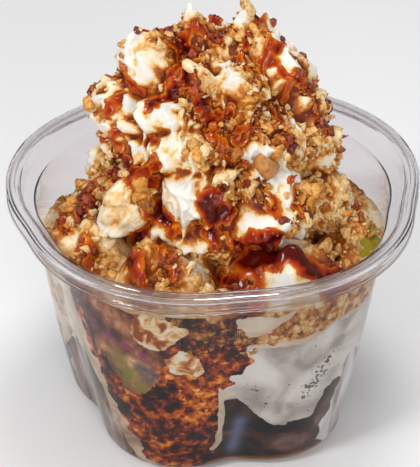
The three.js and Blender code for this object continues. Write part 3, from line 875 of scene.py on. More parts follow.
# ---------------------------------------------------------------- the crumb layer
# A bed of broken biscuit runs right through the ice cream, pressed against the wall in a ragged band.
# Its crumbs are dry and sandy, a millimetre or two across, and soaked dark where the syrup reached them.
def crumb_bed(name, stops, size=1.5):
    """Packed crumbs: rough grains in many tones, with painted shade in the gaps between them."""
    material, output = new_material(name)
    place = add_node(material, "ShaderNodeTexCoord").outputs["Object"]
    wander = add_node(
        material, "ShaderNodeTexNoise", {"Scale": per_mm(1.6), "Detail": 3.0}, {"Vector": place}
    )
    shifted = add_node(
        material,
        "ShaderNodeVectorMath",
        {"operation": "MULTIPLY_ADD", 1: (0.0018, 0.0018, 0.0018)},
        {0: wander.outputs["Color"], 2: place},
    )
    cells = add_node(
        material, "ShaderNodeTexVoronoi", {"Scale": per_mm(size)}, {"Vector": shifted.outputs[0]}
    )
    tone = add_node(
        material,
        "ShaderNodeTexNoise",
        {"Scale": per_mm(4), "Detail": 8.0, "Roughness": 0.72},
        {"Vector": place},
    )
    each = add_node(material, "ShaderNodeSeparateXYZ", None, {0: cells.outputs["Color"]})
    varied = add_node(
        material,
        "ShaderNodeMath",
        {"operation": "MULTIPLY_ADD", 1: 0.22},
        {0: each.outputs[0], 2: tone.outputs[0]},
    )
    # Painted shade: the colour darkens towards each grain's edge, into the gaps between the grains.
    blend = add_node(
        material,
        "ShaderNodeMath",
        {"operation": "MULTIPLY_ADD", 1: -0.2},
        {0: cells.outputs["Distance"], 2: varied.outputs[0]},
    )
    relief = add_node(
        material,
        "ShaderNodeBump",
        {"Strength": 0.8, "Distance": 0.001, "invert": True},
        {"Height": cells.outputs["Distance"]},
    )
    colour = add_node(material, "ShaderNodeValToRGB", None, {0: blend.outputs[0]}, stops)
    return finish_material(
        material,
        output,
        {"Roughness": 0.7, "Specular IOR Level": 0.1},
        {"Base Color": colour.outputs[0], "Normal": relief.outputs[0]},
    )


def ragged(surface, depth, size, seed):
    """A surface made uneven by small bumps."""

    def height(x, y):
        spot = np.stack([np.ravel(x), np.ravel(y), np.zeros(np.size(x))], 1)
        return surface(x, y) + depth * bumps(spot, size, seed, 4).reshape(np.shape(x))

    return height


dry_crumb = crumb_bed(
    "dry biscuit crumb", [(0.3, "#6c3008"), (0.42, "#b86c28"), (0.54, "#e6a856"), (0.68, "#ffe6ac")]
)
wet_crumb = crumb_bed(
    "crumb soaked in syrup", [(0.34, "#140200"), (0.45, "#4c1404"), (0.56, "#9a4810"), (0.68, "#e2a04c")], 1.6
)
crumb_layer = filling(
    "biscuit_layer",
    ragged(crumbs_under, 1.6, 6, 31),
    ragged(crumbs_over, 1.8, 6, 32),
    dry_crumb,
    into=0.18,
    guess=(49, 56),
)
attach(crumb_layer, "root")
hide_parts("crumb_layer")
CRUMBS_AT_WALL = {
    "soaked_crumbs": (
        wet_crumb, [(255, 54), (259, 50), (266, 50), (273, 51), (278, 55), (279, 61), (257, 61)]
    ),
    "crumbs_low": (
        dry_crumb, [(276, 50.5), (283, 49.5), (290, 52), (297, 57), (290, 57.5), (283, 54.5), (277, 56)]
    ),
    "crumbs_high": (dry_crumb, [(290, 57), (298, 55), (312, 57), (326, 58), (326, 61), (306, 61), (290, 61)]),
}
for crumbs_name, (crumbs_material, crumbs_outline) in CRUMBS_AT_WALL.items():
    crumbs = smear(
        crumbs_name, crumbs_outline, crumbs_material, into=0.32, ragged=2.4, ragged_size=3, seed=21
    )
    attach(crumbs, "root")

# ---------------------------------------------------------------- the ice cream under the mound
# More vanilla, dropped in spoonfuls on the crumbs. It stands high against the front wall and low at the
# back, where the plastic stays bare.
TOP_SPOONFULS = [
    {"at": (17, -31, 60), "radii": (17, 17, 12.5)},
    {"at": (-13, -34, 61), "radii": (14, 13, 11)},
    {"at": (-33, -20, 60), "radii": (13, 14, 12)},
    {"at": (38, -14, 58), "radii": (12, 14, 11)},
]
# Broken flakes of it that stand up: from, to, half width and height in mm.
TOP_FLAKES = [
    ((-19, -33), (-20, -43), 4.0, 4.5),
    ((-12, -35), (-1, -43), 4.5, 3.0),
    ((-33, -25), (-37, -31), 3.5, 4.0),
    ((-43, -13), (-42, -22), 3.5, 3.5),
    ((21, -38), (24, -43), 5.0, 4.5),
    ((36, -20), (41, -12), 4.0, 2.5),
    ((-30, 28), (-22, 34), 4.5, 3.0),
    ((12, 37), (22, 33), 4.5, 3.0),
    ((-46, 6), (-41, 13), 3.5, 2.5),
    ((42, 10), (38, 18), 4.0, 3.0),
]


def top_surface(x, y):
    """The height of the ice cream under the mound: a waving bed with spoonfuls, flakes and folds."""
    x, y = np.asarray(x, float), np.asarray(y, float)
    height = 61 - 0.06 * y - 4 * sunk(y) + 1.2 * unevenness(x, y, 0 * x, 24, 5)
    for one in TOP_SPOONFULS:
        (cx, cy, cz), (rx, ry, rz) = one["at"], one["radii"]
        room = np.maximum(1 - ((x - cx) / rx) ** 2 - ((y - cy) / ry) ** 2, 0)
        height = np.maximum(height, np.where(room > 0, cz + rz * np.sqrt(room), 0))
    edge = np.clip((np.hypot(x, y) - 34) / 12, 0, 1) * np.clip((y + 22) / 14, 0, 1)
    height = height - 2.0 * edge**2 * np.clip((6 - x) / 20, 0, 1) - 1.8 * edge * np.clip((x - 20) / 15, 0, 1)
    spot = np.stack([np.ravel(x), np.ravel(y), np.zeros(np.size(x))], 1)
    shift = np.stack([value_noise(spot, 5, 42), value_noise(spot, 5, 43)], 1).reshape(np.shape(x) + (2,))
    for (ax, ay), (bx, by), half_width, tall in TOP_FLAKES:
        px, py = x + 1.6 * shift[..., 0], y + 1.6 * shift[..., 1]
        dx, dy = bx - ax, by - ay
        t = np.clip(((px - ax) * dx + (py - ay) * dy) / (dx * dx + dy * dy), 0, 1)
        gap = np.hypot(px - ax - t * dx, py - ay - t * dy) / (half_width * (1 - 0.5 * t))
        height = height + tall * np.sqrt(np.maximum(1 - gap**2, 0)) * (1 - 0.3 * t)
    folds = 1 - np.abs(value_noise(spot + 1.5 * np.c_[shift.reshape(-1, 2), np.zeros(np.size(x))], 4, 44))
    return height + (1.2 * bumps(spot, 7, 41, 4) + 1.2 * (folds**2 - 0.5)).reshape(np.shape(x))


top_ice_cream = filling(
    "ice_cream_top",
    lambda x, y: crumbs_over(x, y) - 0.5,
    top_surface,
    None,
    into=0.12,
    rows=30,
    caps=(6, 80),
    around=560,
    guess=(56, 64),
)
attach(top_ice_cream, "root")
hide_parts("top_ice_cream")

# ---------------------------------------------------------------- the whipped cream
# A tall mound of whipped cream, dropped on in big soft spoonfuls that lean on one another.
# It is torn into small ridges where the spoon pulled away, and stained where caramel has soaked in.
CREAM_HEART = np.array([0.0, 0.0, 86.0])
CREAM_LUMPS = [
    {"at": (1, -1, 73), "radii": (34, 34, 17)},
    {"at": (0, 1, 91), "radii": (31, 29, 19)},
    {"at": (-3, 1, 105), "radii": (22, 19, 15)},
    {"at": (-18, -3, 113), "radii": (8, 8.5, 9.5), "tilt": 0.3},
    {"at": (-6, 0, 119), "radii": (4, 5, 7)},
    {"at": (7, 3, 115), "radii": (5.5, 6.5, 6.5)},
    {"at": (13, 3, 116), "radii": (5.5, 6, 9), "tilt": -0.2},
    {"at": (18, 0, 108), "radii": (8, 8.5, 10), "tilt": -0.35},
    {"at": (22, -1, 97), "radii": (9.5, 9, 10)},
    {"at": (-5, -14, 108), "radii": (4, 4.5, 12), "tilt": 0.1},
    {"at": (7, -13, 107), "radii": (5.5, 5.5, 12), "tilt": -0.15},
    {"at": (-26, -6, 101), "radii": (8.5, 8, 9), "tilt": 0.3},
    {"at": (-12, -18, 104), "radii": (10, 6, 6), "tilt": 0.3},
    {"at": (-8, -22, 96), "radii": (11, 8, 8), "tilt": 0.4},
    {"at": (-4, -27, 84), "radii": (12, 8, 11), "tilt": 0.35},
    {"at": (-24.5, -25.5, 79), "radii": (7, 5, 10), "tilt": 0.3},
    {"at": (13, -18, 95), "radii": (10, 8, 8)},
    {"at": (14, -24, 86), "radii": (11, 9, 8)},
    {"at": (13, -30, 79), "radii": (12, 8, 4.5), "tilt": -0.15},
    {"at": (26.5, -4, 87), "radii": (9, 9, 11), "tilt": -0.2},
    {"at": (31, -9, 72), "radii": (9.5, 10, 9.5)},
    {"at": (-30, -10, 72), "radii": (9, 9, 8.5)},
    {"at": (-34, -14, 66), "radii": (8, 8.5, 8)},
]
CREAM_TIERS = [
    {"z": 73, "out": 28, "size": 9, "count": 6},
    {"z": 87, "out": 24, "size": 9, "count": 6},
    {"z": 101, "out": 20, "size": 9, "count": 5},
    {"z": 110, "out": 11, "size": 7.5, "count": 4},
]
BACK_SWEEP = (-12, 196)
CREAM_PEAKS = [
    {"from": (-6, 0, 117), "to": (-6.6, -0.5, 129.0), "radius": 3.4},
    {"from": (9, 3, 119), "to": (8.2, 2.5, 127.2), "radius": 3.0},
    {"from": (13, 3.5, 117), "to": (13.5, 4, 123.6), "radius": 2.8},
]


def draws(seed):
    """A stream of numbers from 0 to 1, the same each time."""
    state = seed * 2654435761

    def product(a, b):
        return (a * b) & 0xFFFFFFFF

    while True:
        state = (state + 0x6D2B79F5) & 0xFFFFFFFF
        t = product(state ^ (state >> 15), state | 1)
        t = ((t + product(t ^ (t >> 7), t | 61)) & 0xFFFFFFFF) ^ t
        yield (t ^ (t >> 14)) / 4294967296


def tier_lumps():
    """Spoonfuls round the sides and back, tier by tier."""
    stream = draws(41)
    lumps = []
    for number, tier in enumerate(CREAM_TIERS):
        for i in range(tier["count"]):
            share = (i + 0.3 + 0.4 * next(stream) + 0.25 * (number % 2)) / tier["count"]
            turn = math.radians(BACK_SWEEP[0] + (BACK_SWEEP[1] - BACK_SWEEP[0]) * share)
            out = tier["out"] + 3 * (next(stream) - 0.5)
            across = tier["size"] * (0.85 + 0.3 * next(stream))
            height = tier["z"] + 5 * (next(stream) - 0.5)
            tall = tier["size"] * (0.75 + 0.5 * next(stream))
            tilt = 0.5 * (next(stream) - 0.5)
            at = (out * math.cos(turn), out * math.sin(turn), height)
            lumps.append({"at": at, "radii": (across, across, tall), "tilt": tilt})
    return lumps


def reach_through(directions, at, radii, tilt=0.0):
    """How far a lump reaches from the mound's heart, in each direction."""
    c, s = math.cos(-tilt), math.sin(-tilt)
    turn = np.array([[c, 0, s], [0, 1, 0], [-s, 0, c]])
    start = (turn @ (CREAM_HEART - np.array(at, float))) / radii
    along = (directions @ turn.T) / radii
    a = np.einsum("ij,ij->i", along, along)
    b = along @ start
    root = b * b - a * (start @ start - 1)
    return np.where(root > 0, (-b + np.sqrt(np.maximum(root, 0))) / a, 0)


def aim(azimuth, elevation):
    """Unit directions from degrees round the mound and degrees above its heart."""
    a, e = np.radians(azimuth), np.radians(elevation)
    return np.stack([np.cos(e) * np.cos(a), np.cos(e) * np.sin(a), np.sin(e) + 0 * a], -1)


def torn_lumps(big):
    """Small dabs and curls all over the mound, where the spoon tore it."""
    random = np.random.default_rng(7)
    lumps = []
    for _ in range(130):
        azimuth = random.uniform(0, 360)
        elevation = math.degrees(math.asin(random.uniform(-0.45, 0.97)))
        direction = aim(np.array([azimuth]), np.array([elevation]))
        reach = max(float(reach_through(direction, **one)[0]) for one in big)
        across = random.uniform(1.8, 4.6)
        tall = across * random.uniform(0.7, 1.3)
        at = CREAM_HEART + direction[0] * (reach - across * random.uniform(0.6, 1.0))
        tilt = random.uniform(-0.7, 0.7)
        lumps.append({"at": tuple(at), "radii": (across, across, tall), "tilt": tilt})
    return lumps


BIG_LUMPS = CREAM_LUMPS + tier_lumps()
SMALL_LUMPS = torn_lumps(BIG_LUMPS)


def cream_reach(directions):
    """The cream's surface, as a distance from the mound's heart."""
    reach = np.zeros(len(directions))
    for one in BIG_LUMPS + SMALL_LUMPS:
        reach = np.maximum(reach, reach_through(directions, **one))
    place = CREAM_HEART + directions * reach[:, None]
    warp = np.stack([value_noise(place, 6, seed) for seed in (61, 62, 63)], 1)
    torn = 1 - np.abs(value_noise((place + 2.2 * warp) * (1, 1, 0.7), 5.5, 64))
    fine = 1 - np.abs(value_noise((place + 1.2 * warp) * (1, 1, 0.8), 2.6, 65))
    crisp = 1 - np.abs(value_noise((place + 0.8 * warp) * (1, 1, 0.7), 1.5, 67))
    reach += (
        3.0 * (torn**2 - 1.12)
        + 1.5 * (fine**2 - 0.7)
        + 0.5 * (crisp - 0.6)
        + 0.5 * bumps(place, 9, 66, 2)
    )
    for peak in CREAM_PEAKS:
        foot, tip = np.array(peak["from"]), np.array(peak["to"])
        for t in np.linspace(0, 1, 12):
            size = peak["radius"] * (1 - 0.8 * t)
            dab = {"at": foot + (tip - foot - (0, 0, 0.6)) * t, "radii": (size, size, size)}
            reach = np.maximum(reach, reach_through(directions, **dab))
    return reach


# The cream is a grid of directions from its heart, whose columns lie closer together at the front.
CREAM_COLUMNS = 440
CREAM_ROWS = 200
LOWEST_ROW = -62
HIGHEST_ROW = 89.6
FRONT_DETAIL = 0.3
STEEPEST = 2.0
SLOPE_PASSES = 60
sweep = np.linspace(0, 2 * math.pi, CREAM_COLUMNS, endpoint=False)
cream_azimuth = np.degrees(sweep - FRONT_DETAIL * np.cos(sweep))
full_circle = np.append(cream_azimuth, cream_azimuth[0] + 360)
cream_elevation = np.linspace(LOWEST_ROW, HIGHEST_ROW, CREAM_ROWS)
grid = np.meshgrid(cream_azimuth, cream_elevation)
cream_directions = aim(grid[0].ravel(), grid[1].ravel())
cream_grid = cream_reach(cream_directions).reshape(CREAM_ROWS, CREAM_COLUMNS)
# Where one lump overhangs another the sheet between them is held to a slope, so its faces stay small.
columns_apart = np.radians(np.diff(full_circle))
rows_apart = math.radians(cream_elevation[1] - cream_elevation[0])
thin = np.cos(np.radians(cream_elevation))[:, None]
for _ in range(SLOPE_PASSES):
    step_right = STEEPEST * cream_grid * thin * columns_apart
    from_left = np.roll(cream_grid - step_right, 1, 1)
    from_right = np.roll(cream_grid, -1, 1) - step_right
    cream_grid = np.maximum(cream_grid, np.maximum(from_left, from_right))
    step_up = STEEPEST * rows_apart * cream_grid
    cream_grid[1:] = np.maximum(cream_grid[1:], (cream_grid - step_up)[:-1])
    cream_grid[:-1] = np.maximum(cream_grid[:-1], (cream_grid - step_up)[1:])
cream_points = CREAM_HEART + cream_directions * cream_grid.reshape(-1, 1)
cream_faces = ring_faces(CREAM_ROWS, CREAM_COLUMNS)


def on_cream(directions):
    """Points on the cream in given directions from its heart, read from the grid."""
    turn = np.degrees(np.arctan2(directions[:, 1], directions[:, 0]))
    turn = (turn - cream_azimuth[0]) % 360 + cream_azimuth[0]
    column = np.interp(turn, full_circle, np.arange(CREAM_COLUMNS + 1))
    height = np.degrees(np.arcsin(np.clip(directions[:, 2], -1, 1)))
    row = (height - cream_elevation[0]) / (cream_elevation[1] - cream_elevation[0])
    row = np.clip(row, 0, CREAM_ROWS - 1.001)
    left, low = column.astype(int), row.astype(int)
    u, v = column - left, row - low
    left, right = left % CREAM_COLUMNS, (left + 1) % CREAM_COLUMNS
    below = cream_grid[low, left] * (1 - u) + cream_grid[low, right] * u
    above = cream_grid[low + 1, left] * (1 - u) + cream_grid[low + 1, right] * u
    return CREAM_HEART + directions * (below * (1 - v) + above * v)[:, None]


def cream_places(azimuth, elevation):
    """Points on the cream at degrees round and above its heart."""
    return on_cream(aim(azimuth, elevation).reshape(-1, 3))


def vertex_normals(points, faces):
    """Unit normals averaged from the faces round each vertex."""
    quads = points[faces]
    flat = np.cross(quads[:, 2] - quads[:, 0], quads[:, 3] - quads[:, 1])
    normals = np.zeros_like(points)
    for corner in range(4):
        np.add.at(normals, faces[:, corner], flat)
    return normals / np.maximum(np.linalg.norm(normals, axis=1), 1e-9)[:, None]


def hollows(reach, shape, passes=60):
    """How far a surface lies below its own blurred shape, which is deepest in the folds."""
    soft = reach.reshape(shape).copy()
    for _ in range(passes):
        soft = (np.roll(soft, 1, 1) + np.roll(soft, -1, 1) + 2 * soft) / 4
        soft[1:-1] = (soft[:-2] + soft[2:] + 2 * soft[1:-1]) / 4
    return (soft - reach.reshape(shape)).ravel()


# Caramel runs down the mound: degrees round it and above its heart, then a start and end radius in mm.
# Those at the front are where the spoon poured them. The back repeats the same kind by rule.
CREAM_RUNS = {
    "top left": ([(222, 62), (232, 56), (228, 50), (228, 43)], 1.7, 2.6),
    "long run": (
        [(214, 75), (246, 61), (256, 53), (260.6, 46), (268.5, 42), (273, 34), (275, 27.6), (281, 20)],
        3.3,
        1.5,
    ),
    "right stem": ([(351, 68), (346, 65)], 1.3, 1.6),
    "right stem left": ([(346, 65), (335.5, 63), (326, 62.6)], 1.4, 1.0),
    "right stem right": ([(346, 65), (344.5, 57), (339, 52.4), (337, 46.8), (338.5, 42)], 1.5, 0.9),
    "inner stem": ([(344, 75), (336, 75), (317, 70), (309.6, 61)], 1.3, 1.1),
    "right drop": ([(345.6, 47), (346.7, 41.7)], 2.2, 1.8),
    "left shoulder": ([(200.6, 48), (202, 44)], 1.8, 1.2),
    "left edge": ([(202, 37.5), (205.5, 30), (204.6, 26)], 1.7, 1.4),
    "left dot": ([(210.7, 29)], 1.1, 1.1),
    "amber patch": ([(206, 46), (208, 45)], 1.4, 1.0),
    "top glaze": ([(199, 67), (190, 71), (214.6, 81), (270, 86), (13, 85.7)], 1.6, 2.2),
    "centre fleck": ([(282.7, 52), (277, 48)], 1.1, 0.9),
    "right fleck": ([(324.5, 41), (321, 34)], 1.3, 1.0),
    "hooked run": ([(301, 37.7), (290, 36.7), (286, 31.7)], 1.7, 1.4),
    "small drop": ([(315, 33)], 1.3, 1.3),
    "right patch": ([(312, 23.6), (309.7, 27)], 1.4, 1.0),
    "nut drip": ([(291, 11.5), (289.7, 6.3), (293.4, 3.2), (296.9, -4), (298.3, -4.7)], 1.7, 1.2),
    "second drop": ([(306, 7)], 1.4, 1.4),
    "amber drip": ([(308.8, 2.3), (305.6, -5.6)], 1.3, 1.6),
    "front patch": ([(267.9, 4), (268.7, -4.7), (273, -4.6), (270, -8)], 3.4, 2.6),
    "front tail": ([(268.4, -13), (268.8, -19)], 1.7, 1.4),
    "left sweep": ([(224, 6.2), (232.8, 5.3), (237.8, -7), (245.5, -10.4), (250.5, -14.5)], 2.2, 1.6),
    "dark streak": ([(230, 28.5), (235, 28.2)], 1.1, 0.8),
    "mid run": ([(238.8, 20), (239.8, 16), (229, 8), (218.5, 2)], 1.5, 1.6),
    "left run": ([(207, 21), (204.4, 13), (208, 6.5), (213.4, 4.7), (209, -3.2)], 1.8, 1.4),
    "heap run": ([(203, 2.6), (203.6, -1.5), (203, -6), (200, -13), (206, -14.8)], 2.0, 2.0),
    "pointed flake": ([(233.4, -20), (233.4, -26)], 2.8, 2.8),
    "under the lip": ([(296, -11.7), (293, -9), (292, -17.9), (287, -13)], 3.2, 3.2),
    "under the lip, left": ([(280.3, -16.8), (281, -22)], 2.4, 2.4),
}
BACK_RUNS = 13


def back_runs():
    """More runs down the sides and back."""
    random = np.random.default_rng(23)
    runs = {}
    for i in range(BACK_RUNS):
        azimuth = -8 + 200 * (i + random.uniform(0.1, 0.9)) / BACK_RUNS
        elevation = random.uniform(58, 80)
        stop = random.uniform(-12, 34)
        line = []
        while elevation > stop:
            line.append((azimuth, elevation))
            azimuth += random.uniform(-7, 7) / max(math.cos(math.radians(elevation)), 0.4)
            elevation -= random.uniform(5, 10)
        size = random.uniform(1.2, 2.4)
        runs[f"back {i}"] = (line, size, size * random.uniform(0.6, 1.1))
    return runs


def along(line, step=0.6):
    """Points every step along a polyline in millimetres, and each one's share of the way."""
    line = np.asarray(line, float)
    if len(line) == 1:
        return line, np.zeros(1)
    lengths = np.linalg.norm(np.diff(line, axis=0), axis=1)
    total = np.concatenate([[0], np.cumsum(lengths)])
    spots = np.linspace(0, total[-1], max(2, int(total[-1] / step)))
    return np.stack([np.interp(spots, total, line[:, i]) for i in range(3)], 1), spots / total[-1]


def uneven_width(points, start, end, share):
    """A run's radius along its way: it thickens into drops and thins between them."""
    return (start + (end - start) * share) * (1 + 0.45 * value_noise(points, 4.5, 95))


def run_on_cream(line, start, end):
    """Centres and radii of a run that follows the cream."""
    ends = cream_places(*np.array(line, float).T)
    points, share = along(ends)
    directions = points - CREAM_HEART
    directions /= np.linalg.norm(directions, axis=1)[:, None]
    points = on_cream(directions)
    return points, uneven_width(points, start, end, share)


def wandering(points, amount=1.3, size=4.0, seed=96):
    """Points shifted by smooth random steps, which breaks up an edge."""
    broad = np.stack([value_noise(points, size, seed + i) for i in range(3)], 1)
    fine = np.stack([value_noise(points, size / 2.6, seed + 3 + i) for i in range(3)], 1)
    return points + amount * broad + 0.45 * amount * fine


RUN_REACH = 9.0


def run_field(points, runs):
    """Millimetres inside the nearest run's edge, negative outside and never below -RUN_REACH."""
    field = np.full(len(points), -RUN_REACH)
    for centres, radii in runs:
        low, high = centres.min(0) - RUN_REACH, centres.max(0) + RUN_REACH
        near = np.flatnonzero(np.all((points > low) & (points < high), axis=1))
        for centre, radius in zip(centres, radii):
            gap = radius - np.linalg.norm(points[near] - centre, axis=1)
            field[near] = np.maximum(field[near], gap)
    return field


def sauce_mesh(name, points, faces, field, material, thickness, sink=0.5):
    """A sheet of sauce over a surface: rounded up inside its edge, and sunk out of sight outside it."""
    inside = np.clip(field / 1.5, 0, 1)
    lift = thickness * np.sqrt(1 - (1 - inside) ** 2) - sink * np.clip(-field, 0, 1)
    moved = points + vertex_normals(points, faces) * lift[:, None]
    kept = faces[(field[faces] > -1.2).any(1)]
    used, order = np.unique(kept, return_inverse=True)
    made = mesh_object(name, moved[used], order.reshape(kept.shape), material)
    give_values(made, "depth", np.clip(field[used] / 2.6, 0, 1))
    return made


# Crumb falls on the mound: degrees round and above its heart, spread in mm, and how many.
CREAM_CRUMB_FALLS = [
    (190, 69, 4.5, 60), (222, 80, 5, 70), (329, 79, 5.5, 90), (0, 74, 4, 40), (255, 55, 4.5, 50),
    (266, 51, 4.5, 60), (277, 41, 4.5, 60), (262, 43, 4, 40), (297, 53, 4.5, 60), (319, 47, 4.5, 60),
    (303, 39, 4.5, 70), (312, 31, 4, 70), (316, 24, 4.5, 80), (334, 10, 5, 90), (340, -5, 5, 90),
    (333, -11, 5, 90), (330, -18, 5, 80), (307, 0.4, 4.5, 80), (310, -8, 4.5, 80), (328, -24, 5, 70),
    (265, 25, 3.5, 40), (275, 21, 3.5, 45), (285, 9, 3.5, 50), (274, 9, 3, 40), (290, 4, 3, 40),
    (202, -2, 4, 80), (200, -13, 4.5, 90), (205, -17, 5, 90), (209, -14, 4.5, 60), (211, -19, 4.5, 60),
    (209, -7, 4, 60), (274, -25, 4, 50), (340, 24, 5, 50), (339, 13, 5, 60), (338, 4, 5, 60),
    (189, 12, 4, 30),
]
BACK_CRUMB_FALLS = 34


def crumb_falls():
    """The front's crumb falls, and others of the same kind round the sides and back."""
    random = np.random.default_rng(29)
    falls = list(CREAM_CRUMB_FALLS)
    for _ in range(BACK_CRUMB_FALLS):
        elevation = math.degrees(math.asin(random.uniform(-0.3, 0.96)))
        azimuth = random.uniform(-10, 188)
        falls.append((azimuth, elevation, random.uniform(3.5, 6), int(random.uniform(35, 85))))
    return falls


# Places where the cream stays bare: degrees round and above its heart, and a radius in mm.
BARE_CREAM = [
    (245, 37, 4), (243, 29, 4.5), (249, 27, 4.5), (252, 20, 4), (254, 13, 4.5), (259, 9, 4), (260, 3, 3.5),
    (210, 36, 4.5), (231, 37, 5), (238, 41, 4), (229, 30, 4), (236, 27, 4.5), (238, 20, 4.5), (246, 19, 5),
    (247, 10.5, 5), (252.5, 7, 5), (256, 1.5, 5), (259.5, -6.5, 4.5), (252.5, -8, 4), (294, 19.5, 4),
    (298, 17, 4), (300.5, 10.5, 4), (301, 4, 4), (301.7, -1, 3.5), (341.6, 73, 3), (339, 67.8, 3.5),
    (343, 57, 3.5), (342, 37, 4), (342, 29, 4), (287, 78, 3.5), (286, 72, 4), (285, 66.6, 4.5),
    (287, 60, 4.5), (288.5, 54, 4.5), (271, 54, 4.5), (289, 48, 4), (267.3, 46.7, 4.5), (270, 50, 4),
    (287, 37, 4), (281, 30, 3.5), (238, 60, 3.5), (330, 30, 4), (204.5, 26.7, 4), (204.3, 21.5, 4),
    (191.7, 8.2, 3.5), (204, 9.3, 3.5), (205.4, 39.5, 3.5), (198, 51.7, 4.5), (207, 52, 4), (201, 46.4, 4.5),
    (193, 48, 4), (338.7, 0, 3), (343.4, -6.8, 3), (285.5, -6, 3.5), (291, -5, 3.5), (296, -4, 3.5),
    (184.5, 81.6, 3.5), (60, 40, 7), (95, 20, 8), (140, 45, 7), (20, 15, 7), (160, 10, 7), (115, 62, 6),
    (40, 60, 5), (80, 5, 6), (150, 25, 6), (5, 35, 5),
]
# The petal at the front left is torn from yellower ice cream, and so is the dab high on the left.
YELLOW_CREAM = [
    (228, -3, 10), (200, 60, 4), (224, 46, 4), (264.7, 27.3, 4.5), (274.6, 32.6, 4), (282, 44, 4),
    (262, 60, 4), (300, 62, 4), (312, 12, 4), (243, 14, 3.5), (322, 0, 4),
]


def falloff(points, middle, radius):
    """1 at a middle, falling smoothly to 0 away from it."""
    return np.exp(-((np.linalg.norm(points - middle, axis=1) / radius) ** 2))


def nearness(points, spots):
    """1 at the middle of each spot on the cream (degrees round, degrees above, mm), and 0 far from all."""
    near = np.zeros(len(points))
    for middle, (_, _, radius) in zip(cream_places(*np.array(spots, float).T[:2]), spots):
        near = np.maximum(near, falloff(points, middle, radius))
    return near


cream_runs = [run_on_cream(*run) for run in {**CREAM_RUNS, **back_runs()}.values()]
cream_hollow = hollows(np.linalg.norm(cream_points - CREAM_HEART, axis=1), (CREAM_ROWS, CREAM_COLUMNS))
ragged_edge = 0.1 + 0.7 * bumps(cream_points, 3.4, 71, 4) + 0.6 * np.clip(cream_hollow, -1, 1.5)
sauce_field = run_field(wandering(cream_points), cream_runs) + ragged_edge
falls = np.array(crumb_falls())
fall_places = cream_places(falls[:, 0], falls[:, 1])
crumbed = np.zeros(len(cream_points))
for fall_place, fall in zip(fall_places, falls):
    crumbed = np.maximum(crumbed, falloff(cream_points, fall_place, 1.3 * fall[2]))
cloudy = bumps(cream_points, 13, 81, 4)
stain_and_shade = (
    0.25
    + 0.2 * cloudy
    + 0.16 * bumps(cream_points, 3, 85, 3)
    + (0.32 + 0.35 * cloudy) * np.exp(-np.maximum(-sauce_field, 0) / 0.9)
    + 0.34 * crumbed
    - 0.24 * nearness(cream_points, BARE_CREAM)
    # Partly painted shade and highlight: the cream is coloured darker in its folds and paler on its ridges.
    + 0.2 * np.clip(cream_hollow, -1, 1.5)
)
yellow = nearness(cream_points, YELLOW_CREAM)
stain_and_shade += yellow * (0.31 - stain_and_shade) * (sauce_field < -0.5)

# Whipped cream: soft, matt and full of light, white where bare and yellow to brown where caramel soaks in
# and under the crumb falls. Its folds are partly darkened by painted shade, and its ridges paled by painted
# highlight.
cream_material, cream_output = new_material("whipped cream")
place = add_node(cream_material, "ShaderNodeTexCoord").outputs["Object"]
soak_and_shade = add_node(cream_material, "ShaderNodeAttribute", {"attribute_name": "stain_and_shade"})
whipped = add_node(
    cream_material,
    "ShaderNodeTexNoise",
    {"Scale": per_mm(1.6), "Detail": 6.0, "Roughness": 0.62},
    {"Vector": place},
)
whipped_relief = add_node(
    cream_material, "ShaderNodeBump", {"Strength": 0.5, "Distance": 0.0008}, {"Height": whipped.outputs[0]}
)
mottled = add_node(
    cream_material,
    "ShaderNodeMath",
    {"operation": "MULTIPLY_ADD", 1: 0.55},
    {0: whipped.outputs[0], 2: soak_and_shade.outputs["Fac"]},
)
stained_and_shaded_colour = add_node(
    cream_material,
    "ShaderNodeValToRGB",
    None,
    {0: mottled.outputs[0]},
    [(0.38, "#ece7df"), (0.5, "#eedfbe"), (0.63, "#e4b56c"), (0.74, "#ba661b"), (0.98, "#6e2204")],
)
finish_material(
    cream_material,
    cream_output,
    {"Roughness": 0.5, "IOR": 1.36, "Subsurface Weight": 0.1, "Subsurface Scale": 0.001},
    {"Base Color": stained_and_shaded_colour.outputs[0], "Normal": whipped_relief.outputs[0]},
)
whipped_cream = mesh_object("cream", cream_points, cream_faces, cream_material)
give_values(whipped_cream, "stain_and_shade", stain_and_shade)
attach(whipped_cream, "root")
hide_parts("whipped_cream")

# ---------------------------------------------------------------- the caramel sauce
# Cooked caramel, spooned over while warm. It stands up a millimetre thick with a rounded edge.
# Thin edges are amber, and the thick middle is nearly black.
caramel, caramel_output = new_material("glossy caramel sauce")
sauce_depth = add_node(caramel, "ShaderNodeAttribute", {"attribute_name": "depth"})
place = add_node(caramel, "ShaderNodeTexCoord").outputs["Object"]
swirl = add_node(
    caramel, "ShaderNodeTexNoise", {"Scale": per_mm(4), "Detail": 3.0, "Distortion": 1.0}, {"Vector": place}
)
sauce_blend = add_node(
    caramel,
    "ShaderNodeMath",
    {"operation": "MULTIPLY_ADD", 1: 0.5},
    {0: swirl.outputs[0], 2: sauce_depth.outputs["Fac"]},
)
sauce_colour = add_node(
    caramel,
    "ShaderNodeValToRGB",
    None,
    {0: sauce_blend.outputs[0]},
    [(0.22, "#d08016"), (0.4, "#ba520c"), (0.64, "#9c2e08"), (0.92, "#7c1a05"), (1.2, "#500b03")],
)
finish_material(
    caramel,
    caramel_output,
    {"Roughness": 0.1, "IOR": 1.42, "Specular IOR Level": 0.3},
    {"Base Color": sauce_colour.outputs[0]},
)
sauce = sauce_mesh("caramel_on_cream", cream_points, cream_faces, sauce_field, caramel, 0.3)
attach(sauce, "root")

BED_STEP = 0.6
